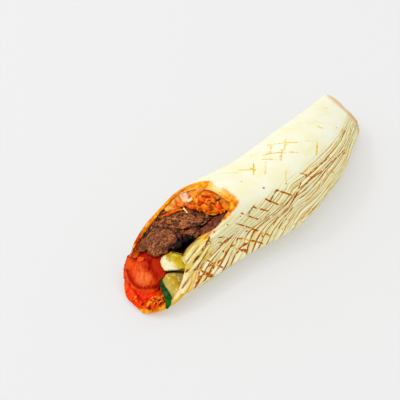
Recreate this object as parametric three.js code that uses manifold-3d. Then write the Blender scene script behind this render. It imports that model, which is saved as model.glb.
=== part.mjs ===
// A doner kebab wrap, cut on a slant: grilled flatbread rolled round sliced meat, tomato, cucumber and
// grated carrot. The cut end lies open like a scoop, and the other end is folded shut.
// Millimetres. +X runs from the cut tip to the folded end, +Y is its left side, +Z is up. A turn is an
// angle round the roll from its top, positive to the left.

import * as THREE from "three";
import { mergeVertices } from "three/addons/utils/BufferGeometryUtils.js";
import Module from "manifold-3d";

const { clamp, degToRad, euclideanModulo, lerp, smoothstep } = THREE.MathUtils;

// ---- Driving dimensions -------------------------------------------------------------------------

const LENGTH = 203; // from the cut tip to the folded end
const SINK = 0.7; // how far the roll settles, which gives it a flat strip to lie on

// The roll along its length: distance from the tip, centre line sideways, half width, height, how
// round the upper edges are, from 1 for an ellipse down to a sharp corner, and the share of the upper
// half's height that is lost at the right edge.
const STATIONS = [
  [0, -2, 24.6, 41, 1, 0],
  [25, -2.2, 27.6, 41.3, 1, 0],
  [50, -3.6, 29.6, 41.3, 0.9, 0],
  [70, -5.2, 31, 41.2, 0.86, 0],
  [88, -8.6, 30.6, 41.2, 0.88, 0],
  [105, -10.6, 29.5, 42, 0.95, 0],
  [126, -9.8, 27.2, 42, 1, 0],
  [146, -8, 25.2, 40.3, 0.95, 0],
  [164, -4.6, 23.2, 36.8, 0.85, 0.12],
  [184, 0.8, 19.4, 30, 0.7, 0.48],
  [203, 5.8, 16.6, 23.6, 0.5, 0.88],
];

const CUT_RUN = 85; // how far the slanting cut runs along the roll
const CUT_RISE = 45; // while it climbs this much
const CUT_TURN = 0.04; // and how far it runs back for each millimetre to the left
const CUT_FROM = -8; // where across the roll its tip lies

const LEAN = 18; // how far the right wall leans in over the cut filling
const LEAN_FROM = 60; // along the roll, where the lean begins to fade
const LEAN_TO = 135;
const LEAN_LOSS = 0.75; // the share of it that is gone by then
const LEAN_LOW = 0.1; // the shares of the height where the lean sets in and is whole
const LEAN_HIGH = 0.55;

const SHEET = 1.3; // one turn of the flatbread, of which two go round the filling
const STRETCH = 0.45; // the share of it that is lost where the sheet is pulled thin
const STRETCH_TURN = degToRad(-42);
const STRETCH_SPREAD = degToRad(28);
const SEAM_TURN = degToRad(-118); // where the sheet's outer edge lies
const SEAM_BLEND = degToRad(70);
const SEAM_STEP = 0.025; // radians between the foot of that edge and its brink

const PLEAT_DEPTH = 0.75; // creases along the right side
const PLEAT_PITCH = degToRad(13);
const PLEATS_FROM = degToRad(-118);
const PLEATS_TO = degToRad(-39);
const PLEATS_FADE = degToRad(18);
const PLEATS_START = 78; // along the roll, where they set in behind the cut
const PLEATS_WHOLE = 108;
const PLEAT_SHARP = 0.7; // below 1 the creases are narrow and the folds between them broad
const PLEAT_LEVEL = 0.6; // the share of their depth that lies under the even skin

const INNER_PROUD = 0.8; // how far the inner turn stands out of the cut
const INNER_LIP = 4; // how soon the inner face is even behind it
const FLAP_TURN = degToRad(-80); // the inner turn's torn flap at the right rim
const FLAP_SPREAD = degToRad(15);
const FLAP_REACH = 6;
const FLAP_LEAN = 5;
const FLAP_ROOM = 9; // how far the filling stays back behind it

// Unevenness, each as waves: height, radians for each millimetre along, waves once round, and phase.
const PLEAT_DRIFT = [
  [0.5, 0.059, 0, 0],
  [0.35, 0.137, 0, 1],
];
const SKIN_WANDER = [
  [0.45, 0.043, 2, 0],
  [0.3, 0.11, -1, 0],
];
const RIM_WANDER = [
  [0.6, 0, 3, -1],
  [0.5, 0, 7, -1],
];
const INNER_WANDER = [[0.4, 0, 5, 0]];

const END_ROUND = 4; // radius round the folded end
const END_WALL = 13; // thickness of the folds that close the end
const END_DISH = 1.2; // how far its middle lies in
const FOLD_DEPTH = 1.2; // relief of the folds on the end face
const FOLD_TURNS = 3;
const FOLD_SWIRL = 1.5;

const MOUTH = 45; // the section that the fillings are laid out in, as a distance from the tip
const CLEAR = 0.9; // between the wall and the filling
const GAP = 0.9; // between two fillings at the mouth
const SWELL = 1.45; // a filling swells to this many times its stated size where nothing stops it
const TIP_ROOM = 2.5; // no filling reaches nearer the tip
const FACE_BACK = 0.6; // how far the fillings' faces lie behind the cut
const EDGE_BACK = 0.3; // and their edges behind that
const FILLING_END = LENGTH - END_WALL - 1.5;

// Each filling as it shows in the slanting cut: its centre left of the roll's middle and above the
// table, half its width and height, its tilt in degrees, how far it stands out of the cut, and the
// strips strewn over a heap.
const FILLINGS = [
  { name: "tomato_slice_lower", kind: "tomato", at: [1, 4.6], half: [18, 3.6], tilt: 0, proud: 1.6 },
  { name: "tomato_wedge", kind: "tomato", at: [9, 10], half: [13.3, 3.8], tilt: 3, proud: 2.6 },
  { name: "carrot_heap_lower", kind: "carrot", at: [-11, 5], half: [6, 3], tilt: -8, proud: 1.4, shreds: 5 },
  { name: "cucumber_slice_lower", kind: "cucumber", at: [-12, 10.9], half: [8, 4.2], tilt: 9, proud: 0.4 },
  { name: "cucumber_slice_upper", kind: "cucumber", at: [-2, 16.2], half: [8.4, 3.6], tilt: -8, proud: 0.6 },
  { name: "meat_slice_left", kind: "meat", at: [21.5, 16.5], half: [5.4, 3.4], tilt: 59, proud: 0.2 },
  { name: "meat_slice_front", kind: "meat", at: [10, 18.9], half: [9.3, 4.6], tilt: -8, proud: 2.4 },
  { name: "meat_slice_back", kind: "meat", at: [10.5, 26.4], half: [13.6, 3], tilt: -15, proud: 0.2 },
  { name: "meat_slice_middle", kind: "meat", at: [0.5, 25.2], half: [4.6, 2.4], tilt: -9, proud: 1.2 },
  { name: "meat_slice_right", kind: "meat", at: [-7.2, 29.3], half: [5.6, 5], tilt: -20, proud: 1.2 },
  { name: "tomato_piece_upper", kind: "tomato", at: [21, 28.4], half: [4.2, 2.6], tilt: -30, proud: 0 },
  { name: "tomato_cube_upper", kind: "tomato", at: [17.5, 32.4], half: [6.4, 2.6], tilt: -12, proud: 0.6 },
  { name: "salad_heap_upper", kind: "carrot", at: [4, 35], half: [11, 3.8], tilt: -5, proud: 0, shreds: 12 },
];
const CRAGS = { meat: 0.9, carrot: 0.5, tomato: 0.15, cucumber: 0.1 }; // relief of the cut faces

const SHRED_WIDE = 1.8; // one strip of grated carrot
const SHRED_THICK = 1.2;
const CARROT_CUBE = 4.6; // the scrap that lies on the tomato wedge
const CARROT_CUBE_AT = [9.5, 13];
const CARROT_CUBE_TURNS = [degToRad(25), degToRad(-30)];

const PLEATED_COLUMNS = 32; // round the creased right side, from the sheet's edge upwards
const PLAIN_COLUMNS = 38; // round the rest
const PLEATED_TO = degToRad(-26);
const BODY_ROWS = 19;
const INNER_ROWS = 11;
const END_RINGS = [0.12, 0.25, 0.5, 0.75, 0.95]; // as shares of the end face's radius
const END_ANGLES = [90, 60, 30]; // degrees round its edge
const SPOKES = 18; // round one filling
const FACE_RINGS = [0.12, 0.5, 0.82, 1]; // as shares of its reach
const FILLING_ROWS = 9;
const PASSES = 16; // a point on the cut or the wall is found by going back and forth this often

// ---- Small helpers ------------------------------------------------------------------------------

// Draws the same sequence of numbers from 0 to 1 on each run.
function seededDraw(seed) {
  let state = seed;
  return () => {
    state = (state * 1664525 + 1013904223) % 4294967296;
    return state / 4294967296;
  };
}

// A bump that is 1 at a turn and gone past its spread.
function bump(turn, middle, spread) {
  return Math.exp(-Math.pow((turn - middle) / spread, 4));
}

// 1 between two values and 0 outside them.
function between(value, from, to, fade) {
  const start = smoothstep(value, from - fade / 2, from + fade / 2);
  return start * (1 - smoothstep(value, to - fade / 2, to + fade / 2));
}

function waves(list, along, turn) {
  let sum = 0;
  for (const [height, rate, round, phase] of list) {
    sum += height * Math.sin(rate * along + round * turn + phase);
  }
  return sum;
}

// ---- The roll's form ----------------------------------------------------------------------------

const stationCurve = new THREE.CubicInterpolant(
  STATIONS.map((station) => station[0]),
  STATIONS.flatMap((station) => station.slice(1)),
  STATIONS[0].length - 1,
);

function sectionAt(along) {
  const [centre, halfWidth, height, round, fall] = stationCurve.evaluate(clamp(along, 0, LENGTH));
  return { centre, halfWidth, height, round, fall };
}

function middleAt(along) {
  const { centre, height } = sectionAt(along);
  return new THREE.Vector3(along, centre, height / 2);
}

// How far the right wall leans in at a height.
function leanAt(along, section, up) {
  const lean = LEAN * (1 - smoothstep(along, LEAN_FROM, LEAN_TO) * LEAN_LOSS);
  return lean * smoothstep(up / section.height, LEAN_LOW, LEAN_HIGH);
}

// A point of the wall, at a depth under the even skin.
function wallPoint(along, turn, depth) {
  const section = sectionAt(along);
  const half = section.height / 2;
  const upper = Math.cos(turn) > 0;
  const corner = upper ? section.round : 1;
  const rise = Math.sign(Math.cos(turn)) * Math.pow(Math.abs(Math.cos(turn)), corner);
  const sideways = Math.sign(turn) * Math.pow(Math.abs(Math.sin(turn)), corner);
  const fall = (section.fall * (1 - sideways)) / 2;
  const reach = upper ? (half - depth) * (1 - fall) : half + SINK - depth;
  const up = Math.max(half + rise * reach, depth, 0);
  let across = sideways * (section.halfWidth - depth);
  if (sideways < 0) across -= sideways * leanAt(along, section, up);
  return new THREE.Vector3(along, section.centre + across, up);
}

// Where the slanting cut meets what lies at pointAt(along).
function cutThrough(pointAt) {
  let along = CUT_RUN / 2;
  for (let pass = 0; pass < PASSES; pass += 1) {
    const point = pointAt(along);
    const cut = (CUT_RUN / CUT_RISE) * point.z + CUT_TURN * (point.y - CUT_FROM);
    along = lerp(along, cut, 0.7);
  }
  return along;
}

// ---- The rolled flatbread -----------------------------------------------------------------------

function sheetAt(turn) {
  return SHEET * (1 - STRETCH * bump(turn, STRETCH_TURN, STRETCH_SPREAD));
}

// The relief of the skin: the creases of the right side, the step at the sheet's edge, and waves that
// leave the strip it lies on flat.
function relief(along, turn) {
  const drift = waves(PLEAT_DRIFT, along, turn);
  const crease = Math.pow(Math.abs(Math.sin((Math.PI * turn) / PLEAT_PITCH + drift)), PLEAT_SHARP);
  const behind = smoothstep(along, PLEATS_START, PLEATS_WHOLE);
  const pleats = behind * between(turn, PLEATS_FROM, PLEATS_TO, PLEATS_FADE) * (crease - PLEAT_LEVEL);
  const free = smoothstep(1 + Math.cos(turn), 0.06, 0.3);
  const past = turn - SEAM_TURN;
  const step = past > 0 && past < SEAM_BLEND ? SHEET * (1 - past / SEAM_BLEND) : 0;
  return PLEAT_DEPTH * pleats + free * waves(SKIN_WANDER, along, turn) + step;
}

function rimAlong(turn, depth) {
  return cutThrough((along) => wallPoint(along, turn, depth)) + waves(RIM_WANDER, 0, turn);
}

// The inner turn stands a little proud of the outer one all round the cut, and the flap far more.
function innerRimPoint(turn, depth) {
  const flap = bump(turn, FLAP_TURN, FLAP_SPREAD);
  const point = wallPoint(rimAlong(turn, depth), turn, depth);
  point.x -= INNER_PROUD + waves(INNER_WANDER, 0, turn) + FLAP_REACH * flap;
  point.y += FLAP_LEAN * flap;
  return point;
}

// A point of the folded end, where the sheet runs to the middle in spiral folds.
function endPoint(turn, radius) {
  const edge = wallPoint(LENGTH, turn, END_ROUND);
  const swirl = (turn / (2 * Math.PI)) * FOLD_TURNS + FOLD_SWIRL * radius;
  const fold = FOLD_DEPTH * euclideanModulo(swirl, 1) * Math.sin(Math.PI * radius);
  const point = middleAt(LENGTH).lerp(edge, radius);
  point.x -= END_DISH * (1 - radius * radius) + fold;
  return point;
}

// A point of the round edge of that end.
function endEdgePoint(turn, angle) {
  const along = LENGTH - END_ROUND * (1 - Math.sin(angle));
  const depth = END_ROUND * (1 - Math.cos(angle)) - relief(along, turn) * Math.cos(angle);
  return wallPoint(along, turn, depth);
}

// The turns of the columns, once round from the brink of the sheet's edge to its foot.
function columnTurns() {
  const turns = [];
  for (let column = 0; column < PLEATED_COLUMNS; column += 1) {
    turns.push(lerp(SEAM_TURN + SEAM_STEP / 2, PLEATED_TO, column / PLEATED_COLUMNS));
  }
  const foot = SEAM_TURN + 2 * Math.PI - SEAM_STEP / 2;
  for (let column = 0; column <= PLAIN_COLUMNS; column += 1) {
    turns.push(lerp(PLEATED_TO, foot, column / PLAIN_COLUMNS));
  }
  return turns.map((turn) => (turn > Math.PI ? turn - 2 * Math.PI : turn));
}

// From the middle of the folded end over the skin to the cut, and back along the inner face.
function flatbreadRings() {
  const turns = columnTurns();
  const rings = END_RINGS.map((radius) => turns.map((turn) => endPoint(turn, radius)));
  for (const angle of END_ANGLES) rings.push(turns.map((turn) => endEdgePoint(turn, degToRad(angle))));
  for (let row = BODY_ROWS; row >= 0; row -= 1) {
    const skinPoint = (turn) => {
      const along = lerp(rimAlong(turn, 0), LENGTH - END_ROUND, row / BODY_ROWS);
      return wallPoint(along, turn, -relief(along, turn));
    };
    rings.push(turns.map(skinPoint));
  }
  rings.push(turns.map((turn) => wallPoint(rimAlong(turn, sheetAt(turn)), turn, sheetAt(turn))));
  rings.push(turns.map((turn) => innerRimPoint(turn, sheetAt(turn))));
  rings.push(turns.map((turn) => innerRimPoint(turn, 2 * sheetAt(turn))));
  for (let row = 0; row <= INNER_ROWS; row += 1) {
    const innerPoint = (turn) => {
      const lip = rimAlong(turn, 2 * sheetAt(turn)) + INNER_LIP;
      return wallPoint(lerp(lip, LENGTH - END_WALL, row / INNER_ROWS), turn, 2 * sheetAt(turn));
    };
    rings.push(turns.map(innerPoint));
  }
  return rings;
}

// ---- The filling --------------------------------------------------------------------------------

function insideWall(along, turn) {
  return wallPoint(along, turn, 2 * sheetAt(turn) + CLEAR);
}

// A place in the mouth's section, as a turn round its middle and a share of the way out to the wall.
function placeAt(across, up) {
  const middle = middleAt(MOUTH);
  const bearing = Math.atan2(across, up - middle.z);
  let turn = bearing;
  for (let pass = 0; pass < PASSES; pass += 1) {
    const wall = insideWall(MOUTH, turn).sub(middle);
    const off = bearing - Math.atan2(wall.y, wall.z);
    turn += Math.atan2(Math.sin(off), Math.cos(off));
  }
  return { turn, share: Math.hypot(across, up - middle.z) / insideWall(MOUTH, turn).distanceTo(middle) };
}

// The same place at another distance from the tip.
function insidePoint(along, { turn, share }) {
  return middleAt(along).lerp(insideWall(along, turn), share);
}

// How far a point lies from a filling's centre, as a multiple of the filling's size.
function farness({ at, half, tilt }, across, up) {
  const cos = Math.cos(degToRad(tilt));
  const sin = Math.sin(degToRad(tilt));
  const dy = across - at[0];
  const dz = up - at[1];
  return Math.hypot((dy * cos + dz * sin) / half[0], (dz * cos - dy * sin) / half[1]);
}

// True where a point belongs to this filling, half a gap clear of its neighbours and inside the bread.
function belongs(filling, across, up) {
  if (farness(filling, across, up) > SWELL || placeAt(across, up).share > 1) return false;
  const probe = 0.05;
  return FILLINGS.every((other) => {
    if (other === filling) return true;
    const lead = (y, z) => farness(other, y, z) - farness(filling, y, z);
    const here = lead(across, up);
    const slope = Math.hypot(lead(across + probe, up) - here, lead(across, up + probe) - here) / probe;
    return here > (slope * GAP) / 2;
  });
}

// The outline that a filling swells to, as one reach for each spoke from its centre.
function swollenOutline(filling) {
  const outline = [];
  const step = 0.02;
  for (let spoke = 0; spoke < SPOKES; spoke += 1) {
    const angle = (2 * Math.PI * spoke) / SPOKES;
    const dy = Math.cos(angle) * filling.half[0];
    const dz = Math.sin(angle) * filling.half[1];
    let reach = step;
    while (belongs(filling, filling.at[0] + dy * reach, filling.at[1] + dz * reach)) reach += step;
    outline.push([dy * (reach - step), dz * (reach - step)]);
  }
  return outline;
}

// The place at a share of the way from a filling's centre to a point of its outline.
function spotAt(filling, [dy, dz], share) {
  return placeAt(filling.at[0] + dy * share, filling.at[1] + dz * share);
}

// Where a place's face lies when it stands out of the cut. Behind the flap it stays back.
function facePoint(place, proud) {
  const cut = cutThrough((along) => insidePoint(along, place));
  const behind = bump(place.turn, FLAP_TURN, 1.3 * FLAP_SPREAD) * smoothstep(place.share, 0.5, 0.9);
  const along = cut + FACE_BACK + FLAP_ROOM * behind - proud * Math.hypot(1, CUT_RUN / CUT_RISE);
  return insidePoint(Math.max(along, TIP_ROOM), place);
}

function fillingRings(filling, outline, draw) {
  const rings = [];
  for (const share of FACE_RINGS) {
    const bulge = 1 - Math.pow(share, 4);
    const ringPoint = (reach) => {
      const crag = share < 1 ? (draw() - 0.5) * 2 * CRAGS[filling.kind] : 0;
      const proud = filling.proud * bulge + crag - EDGE_BACK * (1 - bulge);
      return facePoint(spotAt(filling, reach, share), proud);
    };
    rings.push(outline.map(ringPoint));
  }
  const edge = rings[rings.length - 1];
  for (let row = 1; row <= FILLING_ROWS; row += 1) {
    const sidePoint = (reach, spoke) => {
      const along = lerp(edge[spoke].x, FILLING_END, row / FILLING_ROWS);
      return insidePoint(along, spotAt(filling, reach, 1));
    };
    rings.push(outline.map(sidePoint));
  }
  return rings;
}

// ---- Solids -------------------------------------------------------------------------------------

// One closed body through a stack of rings, shut by a fan at each end.
function closedSkin(rings) {
  const count = rings[0].length;
  const middle = (ring) => ring.reduce((sum, p) => sum.add(p), new THREE.Vector3()).divideScalar(count);
  const points = [...rings.flat(), middle(rings[0]), middle(rings[rings.length - 1])];
  const first = rings.length * count;
  const last = first + 1;
  const faces = [];
  for (let k = 0; k < count; k += 1) {
    const next = (k + 1) % count;
    faces.push(first, next, k);
    for (let r = 0; r + 1 < rings.length; r += 1) {
      const a = r * count + k;
      const b = r * count + next;
      faces.push(a, b, b + count, a, b + count, a + count);
    }
    const base = (rings.length - 1) * count;
    faces.push(last, base + k, base + next);
  }
  const geometry = new THREE.BufferGeometry().setFromPoints(points);
  geometry.setIndex(faces);
  return geometry;
}

const wasm = await Module();
wasm.setup();

function toSolid(geometry) {
  const bare = geometry.clone();
  bare.deleteAttribute("normal");
  bare.deleteAttribute("uv");
  const merged = mergeVertices(bare, 1e-3);
  return new wasm.Manifold(
    new wasm.Mesh({
      numProp: 3,
      vertProperties: merged.attributes.position.array,
      triVerts: new Uint32Array(merged.index.array),
    }),
  );
}

// The outer skin of a joined solid, without scraps and sealed hollows.
function outerSolid(solid) {
  return solid.decompose().reduce((largest, piece) => (piece.volume() > largest.volume() ? piece : largest));
}

function toGeometry(solid) {
  const mesh = solid.getMesh();
  const geometry = new THREE.BufferGeometry();
  geometry.setAttribute("position", new THREE.BufferAttribute(mesh.vertProperties, 3));
  geometry.setIndex(new THREE.BufferAttribute(mesh.triVerts, 1));
  geometry.computeVertexNormals();
  return geometry;
}

// A strip laid from one point to another.
function stripSolid(from, to) {
  const strip = new THREE.BoxGeometry(SHRED_WIDE, SHRED_THICK, from.distanceTo(to));
  const heading = new THREE.Vector3().subVectors(to, from).normalize();
  strip.applyQuaternion(new THREE.Quaternion().setFromUnitVectors(new THREE.Vector3(0, 0, 1), heading));
  strip.translate(...from.clone().add(to).multiplyScalar(0.5).toArray());
  return toSolid(strip);
}

// Strips strewn over a heap's face, each between two places inside its outline.
function strewShreds(heap, filling, outline, draw) {
  const spot = () => {
    const place = spotAt(filling, outline[Math.floor(draw() * SPOKES)], 0.25 + 0.4 * draw());
    return facePoint(place, filling.proud + 0.5 + draw());
  };
  let whole = heap;
  for (let index = 0; index < filling.shreds; index += 1) whole = whole.add(stripSolid(spot(), spot()));
  return outerSolid(whole);
}

// The scrap of carrot that sticks to the face of the tomato wedge.
function carrotCube(wedge) {
  const cube = new THREE.BoxGeometry(CARROT_CUBE, CARROT_CUBE, CARROT_CUBE);
  cube.rotateZ(CARROT_CUBE_TURNS[0]);
  cube.rotateY(CARROT_CUBE_TURNS[1]);
  cube.translate(...facePoint(placeAt(...CARROT_CUBE_AT), wedge.proud).toArray());
  return toSolid(cube);
}

function fillingSolid(filling, seed) {
  const draw = seededDraw(seed);
  const outline = swollenOutline(filling);
  const solid = toSolid(closedSkin(fillingRings(filling, outline, draw)));
  if (filling.shreds) return strewShreds(solid, filling, outline, draw);
  if (filling.name === "tomato_wedge") return solid.add(carrotCube(filling));
  return solid;
}

// ---- The wrap -----------------------------------------------------------------------------------

const MATERIALS = {
  bread: new THREE.MeshStandardMaterial({ color: 0xf3ecc8, roughness: 0.8, metalness: 0 }),
  meat: new THREE.MeshStandardMaterial({ color: 0x7c4a33, roughness: 0.55, metalness: 0 }),
  tomato: new THREE.MeshStandardMaterial({ color: 0xe2401f, roughness: 0.3, metalness: 0 }),
  cucumber: new THREE.MeshStandardMaterial({ color: 0xd2cf6a, roughness: 0.35, metalness: 0 }),
  carrot: new THREE.MeshStandardMaterial({ color: 0xf07a14, roughness: 0.45, metalness: 0 }),
};

function addPiece(group, name, solid, kind) {
  const mesh = new THREE.Mesh(toGeometry(solid), MATERIALS[kind].clone());
  mesh.name = name;
  group.add(mesh);
}

const wrap = new THREE.Group();
addPiece(wrap, "flatbread", toSolid(closedSkin(flatbreadRings())), "bread");
for (const [index, filling] of FILLINGS.entries()) {
  addPiece(wrap, filling.name, fillingSolid(filling, 101 + index), filling.kind);
}

// The origin is the middle of the footprint, on the table.
const box = new THREE.Box3().setFromObject(wrap);
const centre = box.getCenter(new THREE.Vector3());
wrap.position.set(-centre.x, -centre.y, -box.min.z);

export default wrap;
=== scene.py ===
# %% [markdown]
# # A doner wrap, cut on the slant
# A sheet of lavash is rolled around shaved meat, tomato, cucumber and grated carrot, folded shut at
# one end, pressed on a ribbed grill and cut across on a long slant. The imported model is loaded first
# and stays as it is: it says where every piece sits. Each soft piece is then copied from it, made
# finer and given its own surface, and it stands where its solid stood.

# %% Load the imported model
import math
import random

import bpy
import numpy as np
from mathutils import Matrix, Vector, noise
from mathutils.bvhtree import BVHTree


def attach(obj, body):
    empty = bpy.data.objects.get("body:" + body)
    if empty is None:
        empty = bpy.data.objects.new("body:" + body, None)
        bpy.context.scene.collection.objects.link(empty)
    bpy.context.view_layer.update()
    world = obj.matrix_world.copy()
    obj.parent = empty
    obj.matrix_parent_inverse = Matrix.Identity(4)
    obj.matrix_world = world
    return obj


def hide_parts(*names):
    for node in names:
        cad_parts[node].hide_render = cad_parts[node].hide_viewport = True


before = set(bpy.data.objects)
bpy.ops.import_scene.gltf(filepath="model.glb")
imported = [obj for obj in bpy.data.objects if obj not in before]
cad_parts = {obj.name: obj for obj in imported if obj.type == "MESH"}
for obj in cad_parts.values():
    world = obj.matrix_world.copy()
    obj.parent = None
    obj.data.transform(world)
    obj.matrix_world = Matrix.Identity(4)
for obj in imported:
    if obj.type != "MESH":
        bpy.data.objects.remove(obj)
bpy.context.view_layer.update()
bpy.ops.object.select_all(action="DESELECT")
MM = 0.001
UNDERSIDE = 0.02  # mm above the floor, so that the two never share a plane
SAME_CORNER, PAIR_WITHIN = 0.02, 1.2  # how close corners merge, in mm; how askew a pair may be

# %% [markdown]
# ## Helpers for meshes
# Lengths are easier to read in millimetres, so points are handed about in millimetres and only
# become metres when they are written back to a mesh. `carry_over` copies a solid, merges its loose
# triangles at their corners and pairs them into four-sided faces, which smooth far better.


# %% Mesh helpers
def activate(piece):
    bpy.ops.object.select_all(action="DESELECT")
    piece.select_set(True)
    bpy.context.view_layer.objects.active = piece


def points_of(piece):
    flat = np.empty(len(piece.data.vertices) * 3, np.float32)
    piece.data.vertices.foreach_get("co", flat)
    return flat.reshape(-1, 3).astype(float) / MM


def normals_of(piece):
    flat = np.empty(len(piece.data.vertices) * 3, np.float32)
    piece.data.vertex_normals.foreach_get("vector", flat)
    return flat.reshape(-1, 3).astype(float)


def set_points(piece, points):
    piece.data.vertices.foreach_set("co", (points * MM).astype(np.float32).ravel())
    piece.data.update()


def paint(piece, **fields):
    """Keeps a number, or a vector, for each vertex under a name that a material can read."""
    for name, values in fields.items():
        kind, field = ("FLOAT", "value") if values.ndim == 1 else ("FLOAT_VECTOR", "vector")
        layer = piece.data.attributes.get(name) or piece.data.attributes.new(name, kind, "POINT")
        layer.data.foreach_set(field, values.astype(np.float32).ravel())


def modify(piece, kind, **settings):
    modifier = piece.modifiers.new(kind.lower(), kind)
    for name, value in settings.items():
        setattr(modifier, name, value)
    activate(piece)
    bpy.ops.object.modifier_apply(modifier=modifier.name)


def carry_over(node, name):
    piece = bpy.data.objects.new(name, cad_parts[node].data.copy())
    bpy.context.scene.collection.objects.link(piece)
    piece.data.materials.clear()
    activate(piece)
    bpy.ops.mesh.customdata_custom_splitnormals_clear()
    bpy.ops.object.mode_set(mode="EDIT")
    bpy.ops.mesh.select_all(action="SELECT")
    bpy.ops.mesh.remove_doubles(threshold=SAME_CORNER * MM)
    bpy.ops.mesh.tris_convert_to_quads(face_threshold=PAIR_WITHIN, shape_threshold=PAIR_WITHIN)
    bpy.ops.object.mode_set(mode="OBJECT")
    bpy.ops.object.shade_smooth()
    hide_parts(node)
    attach(piece, "root")
    return piece


def join(pieces, name):
    activate(pieces[0])
    for piece in pieces:
        piece.select_set(True)
    bpy.ops.object.join()
    joined = bpy.context.object
    joined.name = name
    return joined


def turn_outwards(piece):
    """Turns the normals of all faces outwards and shades the piece smooth."""
    activate(piece)
    bpy.ops.object.mode_set(mode="EDIT")
    bpy.ops.mesh.select_all(action="SELECT")
    bpy.ops.mesh.normals_make_consistent(inside=False)
    bpy.ops.object.mode_set(mode="OBJECT")
    bpy.ops.object.shade_smooth()


def hand_over(piece, material):
    """Gives a new piece, which stands for no solid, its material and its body."""
    piece.data.materials.append(material)
    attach(piece, "root")
    print(piece.name, triangles(piece), "triangles")
    return piece


def triangles(piece):
    return sum(len(face.vertices) - 2 for face in piece.data.polygons)


def step(low, high, values):
    """0 up to low, 1 from high, and a smooth climb between them. It falls where low is above high."""
    share = np.clip((values - low) / (high - low), 0, 1)
    return share * share * (3 - 2 * share)


def wander(points, size, octaves=3, shift=0.0):
    """Smooth noise from about -1 to 1. Size is the width of its lumps in mm, one number or three."""
    places = points / np.asarray(size, float) + shift
    return np.array([noise.fractal(place, 1.0, 2.0, octaves) for place in places])


def follow(knots, stations, marks=None):
    """The points at stations along a chain of knots, which lie at the marks 0, 1, 2 unless given."""
    marks = range(len(knots)) if marks is None else marks
    return np.stack([np.interp(stations, marks, column) for column in np.transpose(knots)], 1)


# %% [markdown]
# ## Helpers for materials
# Colours are written as the hex values that a designer would read off a swatch. Blender works in
# linear light, so one function turns them. One more adds a node with its settings and its links.


# %% Material helpers
def linear(swatch):
    parts = [int(swatch[i : i + 2], 16) / 255 for i in (1, 3, 5)]
    return (*(p / 12.92 if p <= 0.04045 else ((p + 0.055) / 1.055) ** 2.4 for p in parts), 1.0)


def add(material, kind, inputs=(), output=0, **settings):
    """Adds a node, fills its inputs by name or number with values or with outputs of other nodes,
    and hands back one of its outputs."""
    node = material.node_tree.nodes.new("ShaderNode" + kind)
    for name, value in settings.items():
        setattr(node, name, value)
    for key, value in dict(inputs).items():
        if isinstance(value, bpy.types.NodeSocket):
            material.node_tree.links.new(value, node.inputs[key])
        else:
            node.inputs[key].default_value = value
    return node.outputs[output]


def new_material(name, **sockets):
    """A material with its Principled shader. Values that are the same all over go on its sockets."""
    material = bpy.data.materials.new(name)
    material.use_nodes = True
    shader = material.node_tree.nodes["Principled BSDF"]
    for key, value in sockets.items():
        shader.inputs[key.replace("_", " ")].default_value = value
    return material, shader


def wire(material, shader, **sources):
    for key, source in sources.items():
        material.node_tree.links.new(source, shader.inputs[key.replace("_", " ")])


def blend(material, share, first, second):
    """Mixes two colours, each a hex swatch or an output."""
    first, second = (linear(c) if isinstance(c, str) else c for c in (first, second))
    return add(material, "Mix", {0: share, 6: first, 7: second}, output=2, data_type="RGBA")


def lay_over(material, colour, *layers):
    """Lays colours over one another in turn, each given as (share, colour)."""
    for share, over in layers:
        colour = blend(material, share, colour, over)
    return colour


def sum_up(material, how, first, second, third=0.0):
    return add(material, "Math", {0: first, 1: second, 2: third}, operation=how)


def times(material, first, second):
    return sum_up(material, "MULTIPLY", first, second)


def ramp(material, value, low, high, start=0.0, end=1.0):
    """Moves low..high to start..end, smoothly and with both ends held."""
    return add(material, "MapRange", {"Value": value, "From Min": low, "From Max": high,
                                      "To Min": start, "To Max": end},
               interpolation_type="SMOOTHSTEP")


def read(material, name, output="Fac"):
    return add(material, "Attribute", attribute_name=name, output=output)


def grain_of(material, place, detail=2.0, rough=0.5, scale=1.0):
    return add(material, "TexNoise", {"Vector": place, "Scale": scale, "Detail": detail, "Roughness": rough})


def speckle(material, place, size_mm, detail=3.0, rough=0.55):
    """Noise whose lumps are about size_mm wide, on a place in metres."""
    return grain_of(material, place, detail, rough, 1 / (size_mm * MM))


def bump(material, height, depth_mm, strength):
    return add(material, "Bump", {"Height": height, "Distance": depth_mm * MM, "Strength": strength})


# %% [markdown]
# ## Floor, light and camera
# The wrap lies on a plain pale sheet that is lit from below a little, so that shadows stay pale. One
# large soft light stands far off at the upper left, inside an even pale surrounding, and a small
# softbox nearer by lets wet things glint. The camera looks down at about 46 degrees from the mouth's
# side, through a long lens, as a product shot is taken.

# %% Floor, light and camera
KEY_FROM, KEY_SPREAD, KEY_STRENGTH = (-0.55, 0.75, 1.3), 60, 0.34
SOFTBOX_AT, SOFTBOX_FROM, SOFTBOX_SIDE, SOFTBOX_WATTS = (-0.36, 0.57, 0.92), (-0.29, 0.57, 0.9), 0.1, 0.9
CAMERA_AT, CAMERA_AIM, LENS_MM = (-0.3964, -0.3247, 0.5444), (-0.01195, 0.034, 0.0), 109.9


def face_along(thing, direction, axis="Z"):
    thing.rotation_euler = Vector(direction).to_track_quat(axis, "Y").to_euler()


bpy.ops.mesh.primitive_plane_add(size=6, location=(0, 0, 0))
floor = bpy.context.object
floor.name = "floor"
paper, _ = new_material("backlit_white_acrylic_sheet", Roughness=0.9, Base_Color=linear("#bababa"),
                        Emission_Color=linear("#ffffff"), Emission_Strength=0.27)
floor.data.materials.append(paper)

world = bpy.data.worlds.new("pale_studio")
bpy.context.scene.world = world
world.use_nodes = True
world.node_tree.nodes["Background"].inputs["Color"].default_value = linear("#ffffff")
world.node_tree.nodes["Background"].inputs["Strength"].default_value = 0.78

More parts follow.
